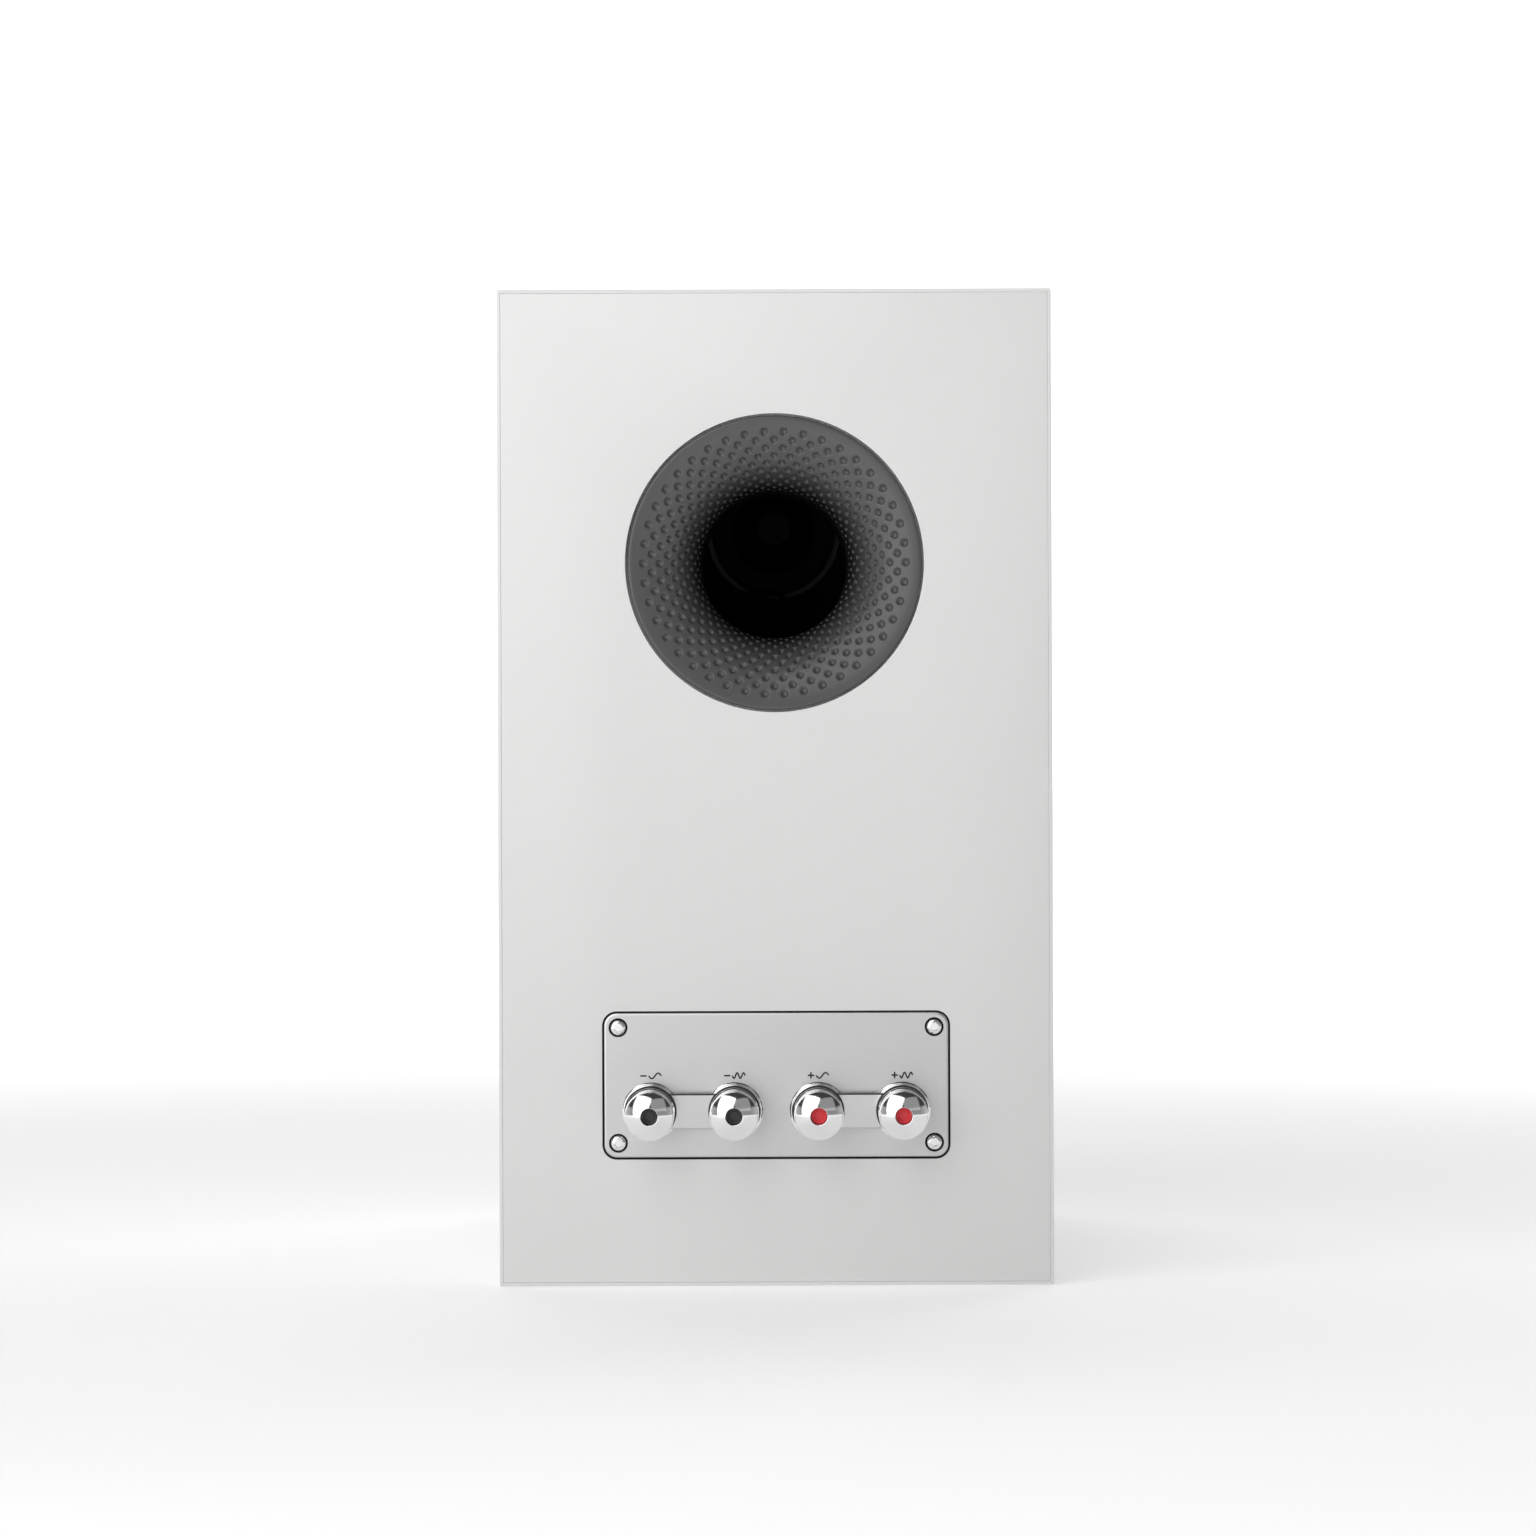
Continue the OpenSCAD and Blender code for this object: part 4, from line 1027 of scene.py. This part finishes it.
def tweeter_mesh():
    """A domed guard punched with a honeycomb of round holes, inside a plain band."""
    guard = PunchedDome()
    pitch, rim = guard.pitch, guard.rim
    reach = int(rim / pitch) + 2
    for row in range(-reach, reach + 1):
        for column in range(-reach, reach + 1):
            x = pitch * (column + 0.5 * (row % 2))
            y = pitch * row * math.sqrt(3) / 2
            if math.hypot(x, y) < rim - pitch * 0.9:
                guard.cell(x, y)
    guard.close_rim()
    bmesh.ops.recalc_face_normals(guard.bm, faces=guard.bm.faces)
    band = lathe(dome_band(guard.centre, guard.radius, rim, guard.skin), AT_TWEETER, 160)
    piece("punched_dome_guard", joined(guard.bm, band), "cabinet", "mesh_metal", ["tweeter_mesh"], sharp=45)


def dome_band(centre, radius, rim, skin):
    """Outline of the plain band round a dome's edge."""
    outer = math.degrees(math.asin(rim / radius))
    inner = math.degrees(math.asin((rim - 1.9) / radius))
    band = arc(0, centre, radius + 0.02, -90 + inner, -90 + outer, 6)
    return band + arc(0, centre, radius - skin - 0.02, -90 + outer, -90 + inner, 6)


def tweeter_dome():
    """A thin metal dome."""
    edge, rise, skin = 12.6, 5.0, 0.25
    radius = (edge**2 + rise**2) / (2 * rise)
    centre = 4.3 - rise + radius
    half = math.degrees(math.asin(edge / radius))
    profile = arc(0, centre, radius, -90, -90 + half, 24)
    profile += arc(0, centre, radius - skin, -90 + half - 0.6, -90, 24)
    dome = lathe(profile, AT_TWEETER, 128)
    piece("polished_dome", dome, "tweeter_diaphragm", "dome_metal", ["tweeter_dome"])


def tweeter_surround():
    """A small half-roll from the faceplate to the dome's edge."""
    lip, skin, roll, middle_r = 4.6, 0.25, 1.4, 14.4
    ring = [(17, lip), (17, lip - skin)] + arc(middle_r, lip - skin, roll, 0, -180, 16)
    ring += [(12.75, lip - skin), (12.75, lip), (middle_r - roll + skin, lip)]
    ring += arc(middle_r, lip - skin, roll - skin, -180, 0, 16) + [(middle_r + roll - skin, lip)]
    made = piece("soft_dome_surround", lathe(ring, AT_TWEETER, 128), None, "surround_rubber",
                 ["tweeter_surround"], blended=True)
    radial_blend(made)


def tweeter_screws():
    """Socket screws whose heads sit in the faceplate's counterbores."""
    top, seat, end = -0.7, 1.15, 15
    profile = rounded([
        (0, top), (1.9, top, 0.3), (2.2, -0.2, 0.2), (2.2, seat), (1.2, seat), (1.2, end), (0, end)], 3)
    screws = []
    for spot in tweeter_screw_places():
        screws.append(boolean(lathe(profile, spot, 48), slab(hexagon(1.15), -2, 0.4, spot)))
    piece("tweeter_socket_screws", joined(*screws), "cabinet", "black_screw", ["tweeter_screws"])


# ---------- setting ----------


def area_light(name, centre, target, width, height, power):
    """A softbox of a size in metres and a power in watts, turned towards a target."""
    data = bpy.data.lights.new(name, "AREA")
    data.shape = "RECTANGLE"
    data.size, data.size_y, data.energy = width, height, power
    made = bpy.data.objects.new(name, data)
    bpy.context.scene.collection.objects.link(made)
    made.location = centre
    made.rotation_mode = "QUATERNION"
    made.rotation_quaternion = (Vector(centre) - Vector(target)).to_track_quat("Z", "Y")
    return made


def floor():
    """A pale floor that glows more with distance, as a lit studio sweep does."""
    n = Nodes("pale_floor")
    clouds = n.noise(3.0, 3)
    away = n.add("ShaderNodeVectorMath", {0: n.place}, operation="LENGTH").outputs["Value"]
    near, far, near_glow, far_glow = 0.5, 1.7, 0.34, 0.9
    glow = ranged(n.tree, away, near, far, near_glow, far_glow)
    n.finish(
        Base_Color=n.tint(clouds, (0.79, 0.79, 0.79), (0.82, 0.82, 0.82)),
        Roughness=0.7,
        Specular_IOR_Level=0.2,
        Emission_Color=(1, 1, 1, 1),
        Emission_Strength=glow,
    )
    mesh = bpy.data.meshes.new("floor")
    reach = 9
    corners = [(-reach, -reach, 0), (reach, -reach, 0), (reach, reach, 0), (-reach, reach, 0)]
    mesh.from_pydata(corners, [], [(0, 1, 2, 3)])
    made = bpy.data.objects.new("floor", mesh)
    bpy.context.scene.collection.objects.link(made)
    mesh.materials.append(n.material)
    # Just below the speaker's base, so that the two faces don't fight.
    made.location.z = -0.0002


def ranged(tree, value, low, high, low_out, high_out):
    """A smooth step of a value from low to high, between two outputs."""
    node = tree.nodes.new("ShaderNodeMapRange")
    node.interpolation_type = "SMOOTHSTEP"
    tree.links.new(value, node.inputs["Value"])
    for socket, source in zip(("From Min", "From Max", "To Min", "To Max"), (low, high, low_out, high_out)):
        if isinstance(source, bpy.types.NodeSocket):
            tree.links.new(source, node.inputs[socket])
        else:
            node.inputs[socket].default_value = source
    return node.outputs[0]


def room():
    """A room whose wall is bright before the speaker's front and dimmer behind its back."""
    world = bpy.data.worlds.new("studio")
    bpy.context.scene.world = world
    world.use_nodes = True
    tree = world.node_tree
    place = tree.nodes.new("ShaderNodeTexCoord")
    axes = tree.nodes.new("ShaderNodeSeparateXYZ")
    tree.links.new(place.outputs["Generated"], axes.inputs[0])
    front_wall, rear_wall, ceiling = 1.2, 0.29, 0.05
    walls = ranged(tree, axes.outputs["Y"], -0.8, 0.6, front_wall, rear_wall)
    light = ranged(tree, axes.outputs["Z"], 0.3, 0.42, walls, ceiling)
    background = tree.nodes["Background"]
    tree.links.new(light, background.inputs["Strength"])
    background.inputs["Color"].default_value = (1, 1, 1, 1)


def towards(aim, turn, rise, distance):
    """A point off the aim: turned left from straight behind, raised above it, both in degrees."""
    a, e = math.radians(turn), math.radians(rise)
    bearing = Vector((math.sin(a) * math.cos(e), math.cos(a) * math.cos(e), math.sin(e)))
    return Vector(aim) + distance * bearing


def surroundings():
    """A large key from the left behind, a weak fill from the right, and two lights for the front."""
    bpy.context.scene.view_settings.view_transform = "Standard"
    room()
    aim = Vector((0, 0.1, 0.18))
    area_light("key", towards(aim, 33, 29, 1.5), aim, 1.5, 2.0, 17.2)
    area_light("fill_right", towards(aim, -33, 32, 1.5), aim, 1.5, 1.2, 1.5)
    area_light("fill_front", (-1.2, -1.9, 1.3), (0, -0.1, 0.17), 1.2, 1.2, 13)
    area_light("fill_top", (0.3, -1.1, 1.9), (0, 0, 0.3), 1.2, 0.8, 10)


def camera():
    """The photograph's view: from behind, level, a little above the middle of the cabinet.

    Framed is the width that the picture spans at the cabinet's back, in metres.
    """
    data = bpy.data.cameras.new("camera")
    made = bpy.data.objects.new("camera", data)
    bpy.context.scene.collection.objects.link(made)
    distance, eye, framed = 1.8, 0.205, 0.5319
    middle_z, middle_x = 0.1792, 0.0024
    roll = math.radians(0.2)
    made.location = (middle_x, REAR_Y * MM + distance, eye)
    made.rotation_euler = (Matrix.Rotation(math.pi, 4, "Z") @ Matrix.Rotation(math.pi / 2, 4, "X")
                           @ Matrix.Rotation(-roll, 4, "Z")).to_euler()
    data.sensor_width = 36
    data.lens = 36 * distance / framed
    data.shift_y = (middle_z - eye) / framed
    bpy.context.scene.camera = made


# ---------- everything ----------

camera()
surroundings()
floor()
wrap_panels()
rear_panel()
front_baffle()
port_flare()
terminal_plate()
plate_seal()
plate_marks()
terminal_screws()
post_collars()
link_straps()
for post in POSTS:
    clamp_washer(post)
    post_knob(post)
    socket_plug(post)
woofer_ring_parts()
woofer_surround()
woofer_spider()
woofer_cone()
dust_cap()
tweeter_faceplate()
tweeter_mesh()
tweeter_dome()
tweeter_surround()
tweeter_screws()
carried_over()
